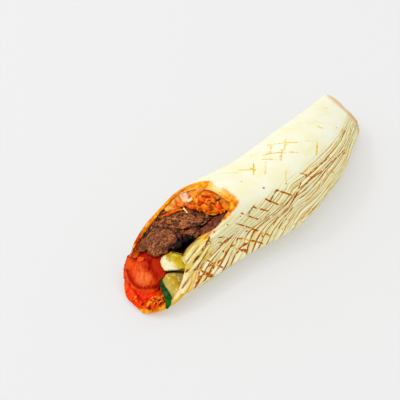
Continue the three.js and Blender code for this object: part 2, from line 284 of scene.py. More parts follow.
bpy.ops.object.light_add(type="SUN", location=KEY_FROM)
key_light = bpy.context.object
key_light.name = "key_light"
key_light.data.angle = math.radians(KEY_SPREAD)
key_light.data.energy = KEY_STRENGTH
face_along(key_light, KEY_FROM)

bpy.ops.object.light_add(type="AREA", location=SOFTBOX_AT)
softbox = bpy.context.object
softbox.name = "softbox"
softbox.data.size = SOFTBOX_SIDE
softbox.data.energy = SOFTBOX_WATTS
face_along(softbox, SOFTBOX_FROM)

bpy.ops.object.camera_add(location=CAMERA_AT)
camera = bpy.context.object
camera.name = "camera"
camera.data.sensor_width = 36
camera.data.lens = LENS_MM
view_line = Vector(CAMERA_AIM) - camera.location
face_along(camera, view_line, "-Z")
bpy.context.scene.camera = camera
bpy.context.scene.view_settings.view_transform = "Standard"
bpy.context.scene.view_settings.look = "Medium High Contrast"
print("camera", round(view_line.length, 3), "m away")

# %% [markdown]
# ## The lavash
# Lavash is a thin wheat flatbread, here a sheet of about 1.3 mm. Rolled tight it shows as one long
# soft skin with fine lengthwise creases on the side where the sheet is tucked under. The solid
# already has the roll, the slanted mouth and the broad creases, so its copy is smoothed by
# subdivision. The fine creases and the slight unevenness are then pushed into the finer mesh.

# %% Copy the bread and smooth it
lavash = carry_over("flatbread", "lavash_wrap")
modify(lavash, "SUBSURF", levels=2, render_levels=2)
skin = points_of(lavash)
skin_normal = normals_of(lavash)
print("lavash", len(skin), "points", triangles(lavash), "triangles")

# %% [markdown]
# ### Where a point lies on the roll
# Creases and grill marks follow the roll, so each point is given its place on it: how far along,
# how far round from the top (to the right is negative), and how far behind the cut edge. A place on
# the slanted mouth is given in mm as (right, up its slope), and sometimes as (right, up, raised).

# %% Along, round and behind
CUT_SLOPE, CUT_TURN, CUT_TIP = 85 / 45, 0.04, -8
HALF_LENGTH = 101.5
CUT_BEGINS, MIDDLE_HEIGHT = -15, 20.5
MOUTH_OUT = np.array((-1, CUT_TURN, CUT_SLOPE)) / math.hypot(1, CUT_TURN, CUT_SLOPE)
MOUTH_UP = np.array((CUT_SLOPE, 0, 1)) / math.hypot(1, CUT_SLOPE)
RIGHT = np.array((0.0, -1.0, 0.0))


def behind_cut(points):
    """How far a point lies behind the slanted cut, in mm."""
    cut = CUT_SLOPE * points[:, 2] + CUT_TURN * (points[:, 1] - CUT_TIP) - HALF_LENGTH
    return (points[:, 0] - cut) / math.hypot(1, CUT_SLOPE, CUT_TURN)


def on_face(right, up, out=0.0):
    """The point of the slanted mouth that lies so far right and up its slope, raised by out, in mm."""
    foot = up * MOUTH_UP + right * RIGHT
    return foot + (behind_cut(foot[None])[0] + out) * MOUTH_OUT


def flat_on_face(points):
    """Where points lie on the mouth's face, as (right, up)."""
    return np.stack([points @ RIGHT, points @ MOUTH_UP], 1)


def spot(points, right, up, wide, tall, tilt=0.0, soft=0.25):
    """1 inside an oval on the mouth's face and 0 outside it. Tilt turns it, in degrees."""
    x, y = flat_on_face(points).T
    x, y = x - right, y - up
    c, s = math.cos(math.radians(tilt)), math.sin(math.radians(tilt))
    away = np.hypot((x * c + y * s) / wide, (y * c - x * s) / tall)
    return step(1 + soft, 1 - soft, away)


def near_line(points, stops, wide):
    """1 on a line through stops on the mouth's face, and 0 further off than wide, in mm."""
    flat = flat_on_face(points)
    gap = np.full(len(points), 99.0)
    for start, end in zip(np.array(stops, float)[:-1], np.array(stops, float)[1:]):
        run = end - start
        share = np.clip((flat - start) @ run / (run @ run), 0, 1)
        gap = np.minimum(gap, np.linalg.norm(flat - start - share[:, None] * run, axis=1))
    return step(wide, wide * 0.3, gap)


def near_outline(points, outline, wide):
    return near_line(points, (*outline, outline[0]), wide)


def within(points, outline, soft=0.8):
    """1 inside a closed outline on the mouth's face, falling to 0 at its edge."""
    flat = flat_on_face(points)
    corners = np.array(outline, float)
    inside = np.zeros(len(points), bool)
    for (x0, y0), (x1, y1) in zip(corners, np.roll(corners, -1, axis=0)):
        crosses = (y0 > flat[:, 1]) != (y1 > flat[:, 1])
        inside ^= crosses & (flat[:, 0] < x0 + (flat[:, 1] - y0) * (x1 - x0) / (y1 - y0 + 1e-9))
    edge = near_outline(points, outline, soft)
    return np.where(inside, 1 - 0.5 * edge, 0.5 * edge)


def middle_of_roll(points):
    """The middle of the roll, sideways and upwards, as two curves along it. The cut takes the top away
    from CUT_BEGINS on, so there the middle stays at one height."""
    stops = np.arange(-100, 101, 5.0)
    across, height = [], []
    for stop in stops:
        near = points[np.abs(points[:, 0] - stop) < 4]
        across.append((near[:, 1].min() + near[:, 1].max()) / 2)
        height.append(near[:, 2].max() / 2 if stop > CUT_BEGINS else MIDDLE_HEIGHT)
    soft = np.ones(5) / 5
    across, height = (np.convolve(np.pad(c, 2, "edge"), soft, "valid") for c in (across, height))
    return (lambda x: np.interp(x, stops, across)), (lambda x: np.interp(x, stops, height))


middle_across, middle_height = middle_of_roll(skin)


def round_the_roll(points):
    """Degrees from the top, to the left positive and to the right negative."""
    return np.degrees(np.arctan2(points[:, 1] - middle_across(points[:, 0]),
                                 points[:, 2] - middle_height(points[:, 0])))


along, turn = skin[:, 0], round_the_roll(skin)
outward = np.stack([np.zeros(len(skin)), np.sin(np.radians(turn)), np.cos(np.radians(turn))], 1)
facing_out = (skin_normal * outward).sum(1)

rim_turns = np.arange(-180, 181, 6.0)
behind = behind_cut(skin)
rim = np.array([behind[(np.abs(turn - t) < 5) & (facing_out > 0.3)].min() for t in rim_turns])
smooth_rim = np.convolve(np.pad(rim, 1, "wrap"), np.ones(3) / 3, "valid")
from_rim = behind - np.interp(turn, rim_turns, smooth_rim)
print("rim lies", rim.min().round(1), "to", rim.max().round(1), "mm off the plain cut")

# %% [markdown]
# ### Creases
# The tucked side of the sheet is gathered, so fine creases run along it, sink towards the mouth and
# meet at the folded end. `flow` is a turn that stays the same along one crease.

# %% Push fine creases and unevenness into the skin
ROUND_MM = 24 * math.pi / 180  # how far one degree runs on the skin
CREASE_STEP, CREASE_DEPTH = 9.0, 0.55  # in degrees and mm


def sink(x):
    """How many degrees a crease has sunk by x, towards the mouth."""
    return 1.15 * np.clip(8 - x, 0, 43) + 0.57 * np.maximum(0, -35 - x)


flow = turn + sink(along)
on_skin = step(0.1, 0.5, facing_out)
gathered = step(-40, -54, turn) * step(-150, -122, turn) * on_skin
crease_room = gathered * step(-84, -70, along) * step(101, 90, along)
crease_wander = wander(skin, (50, 10, 10), 2) * 3
crease = np.abs(np.sin(np.radians((flow + crease_wander) * 180 / CREASE_STEP))) ** 0.6
uneven = wander(skin, (26, 10, 10), 3, 7.0)
dimple = wander(skin, (7, 4, 4), 3, 3.0)
press = crease_room * (crease - 0.7) * CREASE_DEPTH + uneven * 0.25 + dimple * 0.1
press *= step(0, 3, from_rim)
skin = skin + skin_normal * press[:, None]
set_points(lavash, skin)
skin_normal = normals_of(lavash)
print("creases up to", (crease_room * (1 - crease) * CREASE_DEPTH).max().round(2), "mm deep")

# %% [markdown]
# ### Grill marks
# A ribbed press leaves thin brown bars where a rib has touched the raised skin. They are drawn as
# distances: every point knows how far it is from the nearest bar, with a sign for its side, and the
# material turns the distance into a crisp brown line. A plain picture of the bars would need far
# more points to be as sharp. Each bar is a chain of places and a number for how dark it is. A place
# is (along in mm, turn in degrees), or a point in mm. Bars that lie close go in different families,
# since a point knows only the nearest bar of each.

# %% Place the grill marks
# The long bars lie in folds of the sheet: their brown is partly grill browning and partly painted shade in
# the folds.
LONG_BARS = [  # these follow the creases, by flow instead of turn
    ([(77, -54), (63, -48)], 0.7), ([(76, -47), (50, -51), (17, -46)], 0.3),
    ([(45, -57), (17, -53), (-10, -59), (-31, -61)], 1.0), ([(3, -76), (-9, -82)], 0.9),
    ([(40, -97), (2, -97)], 0.5), ([(82, -76), (56, -82), (32, -82)], 0.5),
]
MORE_LONG_BARS = [
    ([(66, -77), (58, -71), (24, -61), (14, -61), (5, -69), (-10, -93)], 0.95),
    ([(40, -75), (23, -83), (8, -86), (-6, -103)], 0.6), ([(86, -97), (50, -104), (30, -107)], 0.45),
]
CROSS_BARS = [  # askew round the skin
    ([(19, -45), (24, -60)], 0.9), ([(-1.2, -18.3, 36.7), (4.3, -23.3, 32.7)], 1.0),
    ([(-10.2, -17.2, 35.2), (-5.0, -21.8, 30.3)], 0.9), ([(-18.8, -15.6, 33.9), (-12.2, -20.0, 29.4)], 0.9),
    ([(-26.8, -13.4, 33.4), (-16.6, -19.5, 24.0)], 1.0), ([(-31.9, -13.4, 29.0), (-20.3, -19.9, 18.6)], 1.0),
    ([(-36.3, -19.4, 14.7), (-32.0, -21.8, 13.0)], 1.0), ([(-25.4, -21.4, 15.2), (-22.6, -24.0, 13.1)], 0.9),
    ([(-30.5, -16.8, 18.4), (-28.1, -19.4, 16.3)], 1.0), ([(-44.4, -11.3, 26.1), (-41.3, -12.0, 24.2)], 0.9),
    ([(-58.8, -11.0, 19.0), (-54.7, -15.0, 16.1), (-51.8, -19.3, 12.6)], 0.9),
    ([(-66.1, -11.6, 17.4), (-62.1, -15.6, 14.5), (-58.6, -19.4, 11.5)], 1.0),
    ([(-32, -96), (-27, -102)], 0.9), ([(-55, -103), (-51, -109)], 1.0), ([(-63, -106), (-59, -111)], 1.0),
    ([(-37, -103), (-33, -108)], 0.9), ([(-27, -102), (-22, -107)], 0.9), ([(61, -77), (70, -90)], 0.7),
    ([(-50.1, -11.9, 19.8), (-50.9, -13.0, 18.4)], 1.0), ([(-19.9, -21.5, 16.9), (-19.8, -22.7, 15.6)], 0.9),
    ([(-16.6, -22.7, 16.9), (-16.0, -24.5, 14.9)], 0.9), ([(-62.3, -17.4, 13.0), (-60.3, -19.8, 10.7)], 1.0),
    ([(34, -62), (46, -88)], 0.35), ([(28, -72), (31, -75)], 0.6), ([(-45, -84), (-42, -90)], 0.6),
]
for x in range(-24, 84, 12):  # the left side met the ribs squarely, in two rows
    CROSS_BARS += [([(x, 68), (x + 5, 84)], 0.75), ([(x + 7, 89), (x + 12, 108)], 0.6)]
MORE_LONG_BARS += [([(-28, 71), (30, 70), (82, 73)], 0.6), ([(-20, 79), (40, 80), (84, 82)], 0.75),
                   ([(-10, 88), (36, 92), (80, 94)], 0.7), ([(0, 99), (50, 102), (76, 100)], 0.45)]
DASHES = [  # short scorched dashes between the creases near the mouth
    ([(-34.5, -13.7, 21.7), (-38.9, -13.3, 20.4)], 1.0), ([(-38.6, -15.9, 17.5), (-44.6, -16.7, 16.0)], 1.0),
    ([(-46.1, -17.1, 15.4), (-49.0, -17.6, 14.6)], 0.8), ([(-33.3, -15.8, 18.8), (-35.6, -16.3, 17.6)], 0.9),
    ([(-27.2, -19.8, 16.2), (-30.1, -20.3, 15.1)], 0.9), ([(-64.1, -14.9, 14.8), (-69.5, -17.2, 12.1)], 1.0),
    ([(-65.7, -12.4, 16.8), (-74.1, -14.6, 14.0)], 1.0), ([(-51.9, -17.2, 14.6), (-59.8, -18.2, 12.6)], 1.0),
    ([(-31.8, -19.2, 15.7), (-38.8, -20.0, 13.7)], 0.9), ([(-39.4, -12.7, 21.7), (-45.8, -13.0, 19.3)], 0.8),
    ([(-22.2, -17.6, 21.5), (-28.9, -17.3, 18.3)], 0.9), ([(-11.9, -20.7, 27.2), (-17.9, -19.1, 22.1)], 0.8),
    ([(-0.5, -23.0, 31.0), (-7.5, -22.3, 27.5)], 0.7),
    ([(-57.1, -12.5, 17.9), (-60.3, -13.2, 16.8), (-62.8, -13.9, 15.9)], 1.0),
    ([(-62.6, -16.1, 14.1), (-67.1, -17.1, 12.6), (-70.3, -17.8, 11.5)], 1.0),
    ([(-51.7, -14.6, 16.8), (-57.5, -16.0, 14.8)], 0.9), ([(-51.0, -11.6, 19.9), (-49.4, -11.3, 20.9)], 0.9),
]
# The slits' dark brown is painted shade in the gaps between the layers, over a groove.
SLITS = [  # dark slits part the layers at the mouth
    ([(-19.4, -15.3, 34.1), (-23.6, -15.3, 31.4)], 0.7), ([(-2.0, -17.7, 36.8), (-8.3, -18.7, 33.9)], 0.7),
    ([(-50.0, -8.6, 27.0), (-53.8, -9.5, 24.9), (-58.5, -9.7, 20.9), (-65.4, -10.0, 19.0),
      (-69.8, -10.0, 17.1)], 1.0),
    ([(-49.1, -10.4, 26.5), (-54.0, -10.8, 20.4), (-63.6, -12.3, 17.1), (-72.4, -13.5, 15.1),
      (-77.6, -14.2, 13.1)], 0.8),
    ([(-65.3, 29.3, 19.6), (-73.5, 27.2, 14.8), (-78.7, 26.2, 11.9)], 1.0),
    ([(-58.4, -6.7, 23.1), (-60.9, -6.7, 21.7), (-63.5, -6.8, 20.5), (-65.9, -6.9, 19.6)], 1.0),
]
FAINT_BARS = [  # on the top the skin only just touched the ribs
    ([(22, 34), (33, 0)], 0.8), ([(13, 22), (27, -14)], 1.0), ([(9, 15), (15, -7)], 0.8),
    ([(-6, 25), (-1, 9)], 0.8), ([(31, 18), (24, 4)], 0.7), ([(23, 32), (16, 17)], 0.7),
    ([(3, 20), (-4, 1)], 1.0), ([(7, 6), (1, -11)], 0.6), ([(45, -24), (38, -38)], 1.0),
    ([(11, -29), (7, -39)], 0.5), ([(22, 6), (15, -7)], 0.8), ([(39, -10), (43, -19)], 0.4),
    ([(-14, 40), (-9, 20)], 0.4), ([(80, 30), (83, 22)], 0.8), ([(57, -4), (58, -10)], 0.9),
    ([(60, 8), (70, -22)], 0.3), ([(50, 30), (57, 10)], 0.3),
]
BARS = {"long": LONG_BARS, "more": MORE_LONG_BARS, "cross": CROSS_BARS, "slit": SLITS,
        "dash": DASHES, "faint": FAINT_BARS}


def on_roll(chain, follows_flow):
    """The skin's own points along a chain, every 3 mm or so."""
    knots = np.array(chain, float)
    if knots.shape[1] == 3:
        line = follow(knots, np.linspace(0, len(knots) - 1, 3 * len(knots)))
        return np.array([skin[np.argmin(((skin - p) ** 2).sum(1))] * 0.6 + p * 0.4 for p in line])
    if follows_flow:
        knots[:, 1] -= sink(knots[:, 0])
    legs = np.hypot(*(np.diff(knots, axis=0) * (1, ROUND_MM)).T)
    ways = np.concatenate([[0], np.cumsum(legs)])
    line = follow(knots, np.linspace(0, ways[-1], max(3, int(ways[-1] / 3))), ways)
    outside = np.nonzero(facing_out > 0.3)[0]
    points = []
    for x, angle in line:
        off = (along[outside] - x) ** 2 + ((turn[outside] - angle) * ROUND_MM) ** 2
        closest = np.argsort(off)[:4]
        weight = 1 / (off[closest] + 0.05)
        points.append((skin[outside[closest]] * weight[:, None]).sum(0) / weight.sum())
    return np.array(points)


def bar_distances(chains, follows_flow):
    """For every point: the signed distance to the nearest bar's line, its plain distance to the bar
    with its ends, and how dark that bar is."""
    nearest, side, dark = np.full(len(skin), 99.0), np.zeros(len(skin)), np.zeros(len(skin))
    for chain, strength in chains:
        knots = on_roll(chain, follows_flow)
        low, high = knots.min(0) - 4, knots.max(0) + 4
        here = np.nonzero(((skin > low) & (skin < high)).all(1))[0]
        for start, end in zip(knots[:-1], knots[1:]):
            run = end - start
            length = np.linalg.norm(run)
            if length < 0.2:
                continue
            off = skin[here] - start
            share = np.clip(off @ run / length**2, 0, 1)
            away = off - share[:, None] * run
            gap = np.linalg.norm(away, axis=1)
            across = np.cross(skin_normal[here], run / length)
            closer = gap < nearest[here]
            chosen = here[closer]
            nearest[chosen], side[chosen] = gap[closer], (off * across).sum(1)[closer]
            dark[chosen] = strength
    return side, nearest, dark


gaps, darks = {}, {}
for family, chains in BARS.items():
    side, gaps[family], darks[family] = bar_distances(chains, follows_flow=family == "long")
    shown = darks[family] * (1 if family == "slit" else on_skin)
    paint(lavash, **{family + "_side": side, family + "_gap": gaps[family], family + "_dark": shown})
print("bars:", {family: len(chains) for family, chains in BARS.items()})

# The sheet is folded along the long bars, so each lies in a shallow groove, and slits are deeper.
FOLD_WIDE, FOLD_DEEP, SLIT_WIDE, SLIT_DEEP = 1.1, 0.45, 0.8, 0.8  # mm
groove = np.exp(-((gaps["long"] / FOLD_WIDE) ** 2)) * darks["long"] * on_skin * step(1.0, 4.0, from_rim)
groove = np.maximum(FOLD_DEEP * groove, SLIT_DEEP * np.exp(-((gaps["slit"] / SLIT_WIDE) ** 2)))
crumpled = step(9, 3, np.linalg.norm((skin - (-61, -8, 20.5)) * (0.7, 1.3, 1.0), axis=1))
groove -= crumpled * 0.7 * wander(skin, (5, 2.2, 2.2), 2, 2.0)
skin_in_place = skin - skin_normal * groove[:, None]
skin_in_place[:, 2] = np.maximum(skin_in_place[:, 2], UNDERSIDE)
set_points(lavash, skin_in_place)

# %% [markdown]
# ### Masks for the finish
# Each mask says where on the bread something shows: the gathered side, sauce and oil at the rim, the
# crumpled corner, painted shade in the hollow beside it and deep inside the roll, a painted highlight
# on the inner wall, scorched creases, a tan tone on the end faces at the far end.

# %% Masks for the finish
# Outline of the gap beside the loose corner, where the bread is painted dark as shade on an oiled ground.
CORNER_GAP_SHADE = [(-3.5, -41), (-1, -38), (1.2, -35.5), (4.4, -35.5), (4.3, -37.5), (3.5, -40.7),
                (3.0, -43.8), (3.4, -47), (4.0, -49.5), (0, -49.5), (-3, -47)]
# Outline of a painted highlight on the inside wall at the top of the mouth.
WALL_HIGHLIGHT = [(-12.5, -5.0), (-5.7, -1.5), (-0.5, -4.5), (-5.0, -7.6), (-10.0, -8.2)]
FIRST_LINE = 62  # the turn, to the right, from which the fine lines are counted

wrap_side = step(-34, -52, turn) * step(-0.1, 0.3, facing_out)
flap = ((skin > (-73, -13, 13)) & (skin < (-49, -2.5, 27))).all(1)
inside = step(0.1, -0.3, facing_out) * step(0.8, 1.6, skin[:, 2]) * step(80, 50, along)
layered = step(-40, -58, turn) * step(-140, -120, turn) * step(-44, -54, along)
right_rim = step(-20, -34, turn) * step(-84, -70, turn) * (1 - layered)
left_rim = step(20, 40, turn) * step(120, 95, turn) * step(-82, -76, along)
soaked_edge = step(0.8, 0.3, from_rim - 2.6 * layered - 0.9 * right_rim - 1.5 * left_rim
                   + 0.3 * wander(skin, 5, 2, 5.0)) * on_skin
lip = step(4.0, 1.5, from_rim) * step(11, 5, skin[:, 2]) * step(-70, -84, along)
corner_gap_shade = within(skin, CORNER_GAP_SHADE, 0.8) * (skin[:, 1] < 1)
# A tan tone on the faces at the far end that look along the roll.
end_edge = step(0.2, 0.45, skin_normal[:, 0]) * step(0.98, 0.8, skin_normal[:, 0]) * step(92, 97, along)
# Painted shade on the inner faces in two hollows of the mouth.
hollow_shade = np.maximum(spot(skin, 3, -38, 10, 6), spot(skin, 2, -62, 9, 4)) * step(-0.2, -0.5, facing_out)
sauced = np.maximum.reduce([
    0.55 * left_rim * step(-38, -50, skin @ MOUTH_UP),
    0.8 * right_rim * step(0.0, 0.35, wander(skin, 3, 2, 8.0)),
    spot(skin, -29, -66, 5, 12), spot(skin, -22, -84, 9, 6, -50), 0.9 * spot(skin, -29, -50, 4, 10)])
gather = 1 + 0.7 * step(-22, -50, along)  # the lines run closer together near the mouth
scorched = np.maximum(
    step(-32, -38, flow) * step(-66, -58, flow) * step(-32, -40, along) * step(-86, -80, along),
    0.55 * step(-50, -54, flow) * step(-82, -70, flow) * step(-36, -26, along) * step(70, 40, along))
paint(lavash, side_tint=wrap_side, lined=wrap_side * (0.1 + 0.9 * step(-10, -40, flow)),
      soaked=np.clip(np.maximum.reduce([soaked_edge, inside, lip, corner_gap_shade]), 0, 1),
      layered=layered * step(5, 3, from_rim), flap=flap * (1 - corner_gap_shade), inside=inside,
      shade=np.maximum(hollow_shade * 0.95, corner_gap_shade), sauced=sauced * step(5, 2, from_rim),
      wall_glow=0.95 * within(skin, WALL_HIGHLIGHT, 1.5), behind_rim=from_rim,
      flow_mm=(flow + FIRST_LINE) * ROUND_MM * gather, scorched=scorched * on_skin,
      crease_depth=crease_room * (1 - crease), end_edge=end_edge * step(2, 6, skin[:, 2]),
      streak_place=np.stack([along / 16, flow * ROUND_MM / 1.1, 0 * along], 1),
      low=step(6, 1.0, skin[:, 2]))
print("soaked or in the mouth:", int((inside > 0.5).sum()), "points inside")

# %% [markdown]
# ### Toasted lavash
# Baked wheat dough: matt, floury and slightly see-through, cream where it is thick and dry, yellower
# and greener where it is thin and gathered. Grill bars are scorched dough, orange at their edges and
# brown in the middle. Near the cut the sheet has soaked up sauce and oil, so it is orange there.

# %% Lavash material
LINE_STEP = 2.3  # mm from one fine line to the next

dough, dough_shader = new_material("toasted_lavash", Roughness=0.7, Subsurface_Weight=0.08,
                                   Subsurface_Scale=0.002, Subsurface_Radius=(1.0, 0.7, 0.35),
                                   Specular_IOR_Level=0.12)
place = add(dough, "TexCoord", output="Object")
streak_place = read(dough, "streak_place", "Vector")
fine, broad = speckle(dough, place, 1.6, 4), speckle(dough, place, 12, 3)
streaks = grain_of(dough, streak_place, 3.0, 0.6)
frayed = sum_up(dough, "SUBTRACT", fine, 0.5)


def bar_mask(family, width, patch_mm=5):
    """1 on a bar, 0 off it, broken up by noise and by how dark the bar is."""
    off = sum_up(dough, "ABSOLUTE", read(dough, family + "_side"), 0.0)
    on_line = ramp(dough, sum_up(dough, "ADD", off, times(dough, frayed, 1.2)), width, width * 0.3)
    near_bar = ramp(dough, read(dough, family + "_gap"), width * 2.2, width * 1.4)
    patchy = ramp(dough, speckle(dough, place, patch_mm, 2), 0.36, 0.52, 0.1, 1.0)
    return times(dough, times(dough, on_line, near_bar), times(dough, read(dough, family + "_dark"), patchy))


def along_streaks(stretch):
    """Noise drawn out along the creases."""
    return grain_of(dough, add(dough, "VectorMath", {0: streak_place, 1: stretch}, operation="MULTIPLY"))


# Fine lines run along the creases, and come and go.
wobble, come_and_go = along_streaks((0.5, 0.14, 1.0)), along_streaks((1.1, 0.4, 1.0))
shifted = sum_up(dough, "MULTIPLY_ADD", wobble, 3.6, read(dough, "flow_mm"))
to_line = sum_up(dough, "ADD", sum_up(dough, "PINGPONG", shifted, LINE_STEP / 2), times(dough, frayed, 0.36))
seen = times(dough, ramp(dough, come_and_go, 0.4, 0.56, 0.35, 1.0), read(dough, "lined"))
width = sum_up(dough, "MULTIPLY_ADD", read(dough, "scorched"), 0.1, 0.3)
fold_lines = times(dough, ramp(dough, to_line, width, times(dough, width, 0.5)), seen)
halo = times(dough, ramp(dough, to_line, times(dough, width, 2.4), width), seen)
burnt = times(dough, read(dough, "scorched"), ramp(dough, come_and_go, 0.39, 0.48))

marks = bar_mask("long", 0.55)
for family, thick in (("more", 0.55), ("cross", 0.66), ("dash", 0.5)):
    marks = sum_up(dough, "MAXIMUM", marks, bar_mask(family, thick))
dots = add(dough, "TexVoronoi", {"Vector": place, "Scale": 1 / (8 * MM), "Randomness": 1.0}, feature="F1")
dots = times(dough, ramp(dough, dots, 0.075, 0.04), ramp(dough, broad, 0.46, 0.52))
layer_edges = sum_up(dough, "SINE", times(dough, read(dough, "behind_rim"), 4.6), 0.0)
# Painted shade: the inside of the roll darkens with depth behind the rim.
deep = times(dough, ramp(dough, read(dough, "behind_rim"), 5.0, 12.0, 0.0, 0.8), read(dough, "inside"))

dry = lay_over(
    dough, blend(dough, ramp(dough, broad, 0.36, 0.68), "#f2f2dd", "#f1edc8"),
    (read(dough, "side_tint"), blend(dough, ramp(dough, streaks, 0.42, 0.62), "#f6f5da", "#efe8ae")),
    (times(dough, read(dough, "crease_depth"), 0.6), "#cdb65c"),
    (times(dough, read(dough, "low"), 0.45), "#dcc98c"),
    (times(dough, halo, 0.42), blend(dough, burnt, "#efdf8c", "#f0c050")),
    (times(dough, fold_lines, 0.97), blend(dough, burnt, "#bb8a1c", "#8f3e00")),
    (bar_mask("faint", 0.7), "#e9c02c"),
    (ramp(dough, marks, 0.0, 0.4, 0, 0.85), "#e8a42a"),
    (ramp(dough, marks, 0.45, 0.9, 0, 0.95), "#a85406"),
    (times(dough, dots, 0.75), "#8d7038"),
    (times(dough, read(dough, "end_edge"), 0.6), "#d79d5c"))
oily = lay_over(
    dough, blend(dough, ramp(dough, speckle(dough, place, 2.2, 4), 0.36, 0.62), "#fbbc24", "#e9800e"),
    (read(dough, "sauced"), blend(dough, ramp(dough, fine, 0.4, 0.6), "#f04a08", "#a82804")),
    (times(dough, read(dough, "layered"), 0.85),
     blend(dough, ramp(dough, layer_edges, 0.2, 0.9), "#f4d356", "#d88a1a")),
    # painted shade deep in the roll, a painted highlight on the inner wall, painted shade in the hollows
    (deep, "#a34a0a"), (read(dough, "wall_glow"), "#fadf90"), (read(dough, "shade"), "#2a0f04"))
soak = read(dough, "soaked")
crust = lay_over(
    dough, dry, (soak, oily),
    (times(dough, read(dough, "flap"), 0.85),
     blend(dough, ramp(dough, streaks, 0.4, 0.6), "#f6ecae", "#e6c65c")),
    # painted shade in the slits
    (times(dough, bar_mask("slit", 0.8), 0.97), "#8a3800"))
height = sum_up(dough, "ADD", times(dough, fine, 0.5), times(dough, marks, -0.6))
height = sum_up(dough, "ADD", height, times(dough, fold_lines, -0.9))
wire(dough, dough_shader, Base_Color=crust, Roughness=ramp(dough, soak, 0, 1, 0.7, 0.38),
     Normal=bump(dough, height, 0.35, 0.6))
lavash.data.materials.append(dough)
print("lavash material with", len(dough.node_tree.nodes), "nodes")

# %% [markdown]
# ## Fillings
# The fillings are soft, wet and torn, and each solid has plain facets. Its copy is rebuilt as an
# even fine mesh, its edges are worn round, and where it lies close to the bread it is pressed
# against it, as a tight roll does. Its surface is pushed in and out where it shows. Deep in the roll
# the bread hides it, so there the mesh is thinned again.

# %% Filling helpers
SHOWS, HAS_RELIEF, HIDDEN = (24, 12), (22, 12), (14, 26)  # from, to: mm behind the cut
THINNED = 0.4  # share of the triangles that a filling keeps, nearly all of them where it shows
SKIN_GAP = 0.15  # mm between a pressed filling and the bread
MOUTH_MIDDLE = (-2, -62)  # the middle of the mouth's lower part, from which the tomatoes bulge
bread_tree = BVHTree.FromObject(lavash, bpy.context.evaluated_depsgraph_get())


def gap_to_bread(points):
    return np.array([bread_tree.find_nearest(Vector(p * MM))[3] / MM for p in points])


def from_plain_rim(points):
    """How far points lie behind the bread's edge at their own turn, in mm."""
    return behind_cut(points) - np.interp(round_the_roll(points), rim_turns, rim)


def at_open_edge(points):
    """1 at the left and at the tip, where the fillings stand as far out as the bread's edge."""
    turns = round_the_roll(points)
    return np.maximum(step(15, 45, turns), step(-120, -150, turns))


def rebuild(node, name, slot, wear, plump, reach, grain_mm=0.5, proud=0.0, spill=0.0, all_round=False):
    """Copies a filling's solid, remeshes it, plumps it up and presses it to the bread within reach.
    Proud lifts it to the bread's edge and spill bulges it over that edge, both in mm. Returns it with
    its points, its normals and how far each point lies behind the cut, in mm."""
    piece = carry_over(node, name)
    modify(piece, "REMESH", mode="VOXEL", voxel_size=grain_mm * MM, use_smooth_shade=True)
    modify(piece, "SMOOTH", factor=0.5, iterations=wear)
    hidden = step(*HIDDEN, behind_cut(points_of(piece)))
    group = piece.vertex_groups.new(name="hidden")
    for index in np.nonzero(hidden > 0.01)[0]:
        group.add([int(index)], float(hidden[index]), "REPLACE")
    modify(piece, "DECIMATE", ratio=THINNED, vertex_group="hidden", vertex_group_factor=10)
    points = points_of(piece)
    shows = step(*SHOWS, behind_cut(points))
    points += normals_of(piece) * (plump * shows)[:, None]
    sides = round_the_roll(points)
    pressed = shows * (1.0 if all_round else np.maximum(step(5, 30, sides), step(-100, -130, sides)))
    for index in np.nonzero(pressed > 0.01)[0]:
        nearest, _, _, gap = bread_tree.find_nearest(Vector(points[index] * MM))
        gap /= MM
        if SKIN_GAP < gap < reach:
            pull = (1 - SKIN_GAP / gap) * step(reach, reach * 0.55, np.array(gap)) * pressed[index]
            points[index] += (np.array(nearest) / MM - points[index]) * pull
    if proud:
        back, wall_gap = from_plain_rim(points), gap_to_bread(points)
        lift = np.clip(back - 0.6, 0, proud) * step(6, 1.0, wall_gap) * step(9, 4, back)
        points += (lift * at_open_edge(points))[:, None] * MOUTH_OUT
    if spill:
        share = step(6, 1.0, wall_gap) * step(3.5, 0.8, from_plain_rim(points)) * at_open_edge(points)
        apart = flat_on_face(points) - MOUTH_MIDDLE
        apart /= np.linalg.norm(apart, axis=1)[:, None]
        sideways = apart[:, :1] * RIGHT + apart[:, 1:] * MOUTH_UP
        points += (share * spill)[:, None] * sideways + (0.9 * share)[:, None] * MOUTH_OUT
    set_points(piece, points)
    return piece, points, normals_of(piece), behind_cut(points)


def finish_filling(piece, points, normals, behind_mouth, push, material):
    """Pushes the surface in and out by push, in mm, where it shows. Returns the new points."""
    points = points + normals * (step(*HAS_RELIEF, behind_mouth) * push)[:, None]
    points[:, 2] = np.maximum(points[:, 2], UNDERSIDE)
    set_points(piece, points)
    piece.data.materials.append(material)
    print(piece.name, triangles(piece), "triangles")
    return points


# %% [markdown]
# ### Shaved doner meat
# Thin slices shaved from a spit: fibrous, browned outside and paler where they tore, moist with fat.
# Shade is painted into the cracks, the sunken parts, the gaps between the folds, the hollow below them
# and the faces turned away from the mouth. The fibres run along each slice, so noise stretched along
# that direction gives both the relief and the colour.

# %% Meat material
meat, meat_shader = new_material("shaved_roast_meat", Specular_IOR_Level=0.3, Coat_Weight=0.2,
                                 Coat_Roughness=0.12)
place = add(meat, "TexCoord", output="Object")
threads = grain_of(meat, read(meat, "grain", "Vector"), 4.0, 0.65)
crumbs = speckle(meat, place, 1.2, 4, 0.7)
tone = sum_up(meat, "ADD", times(meat, threads, 0.55), times(meat, crumbs, 0.45))
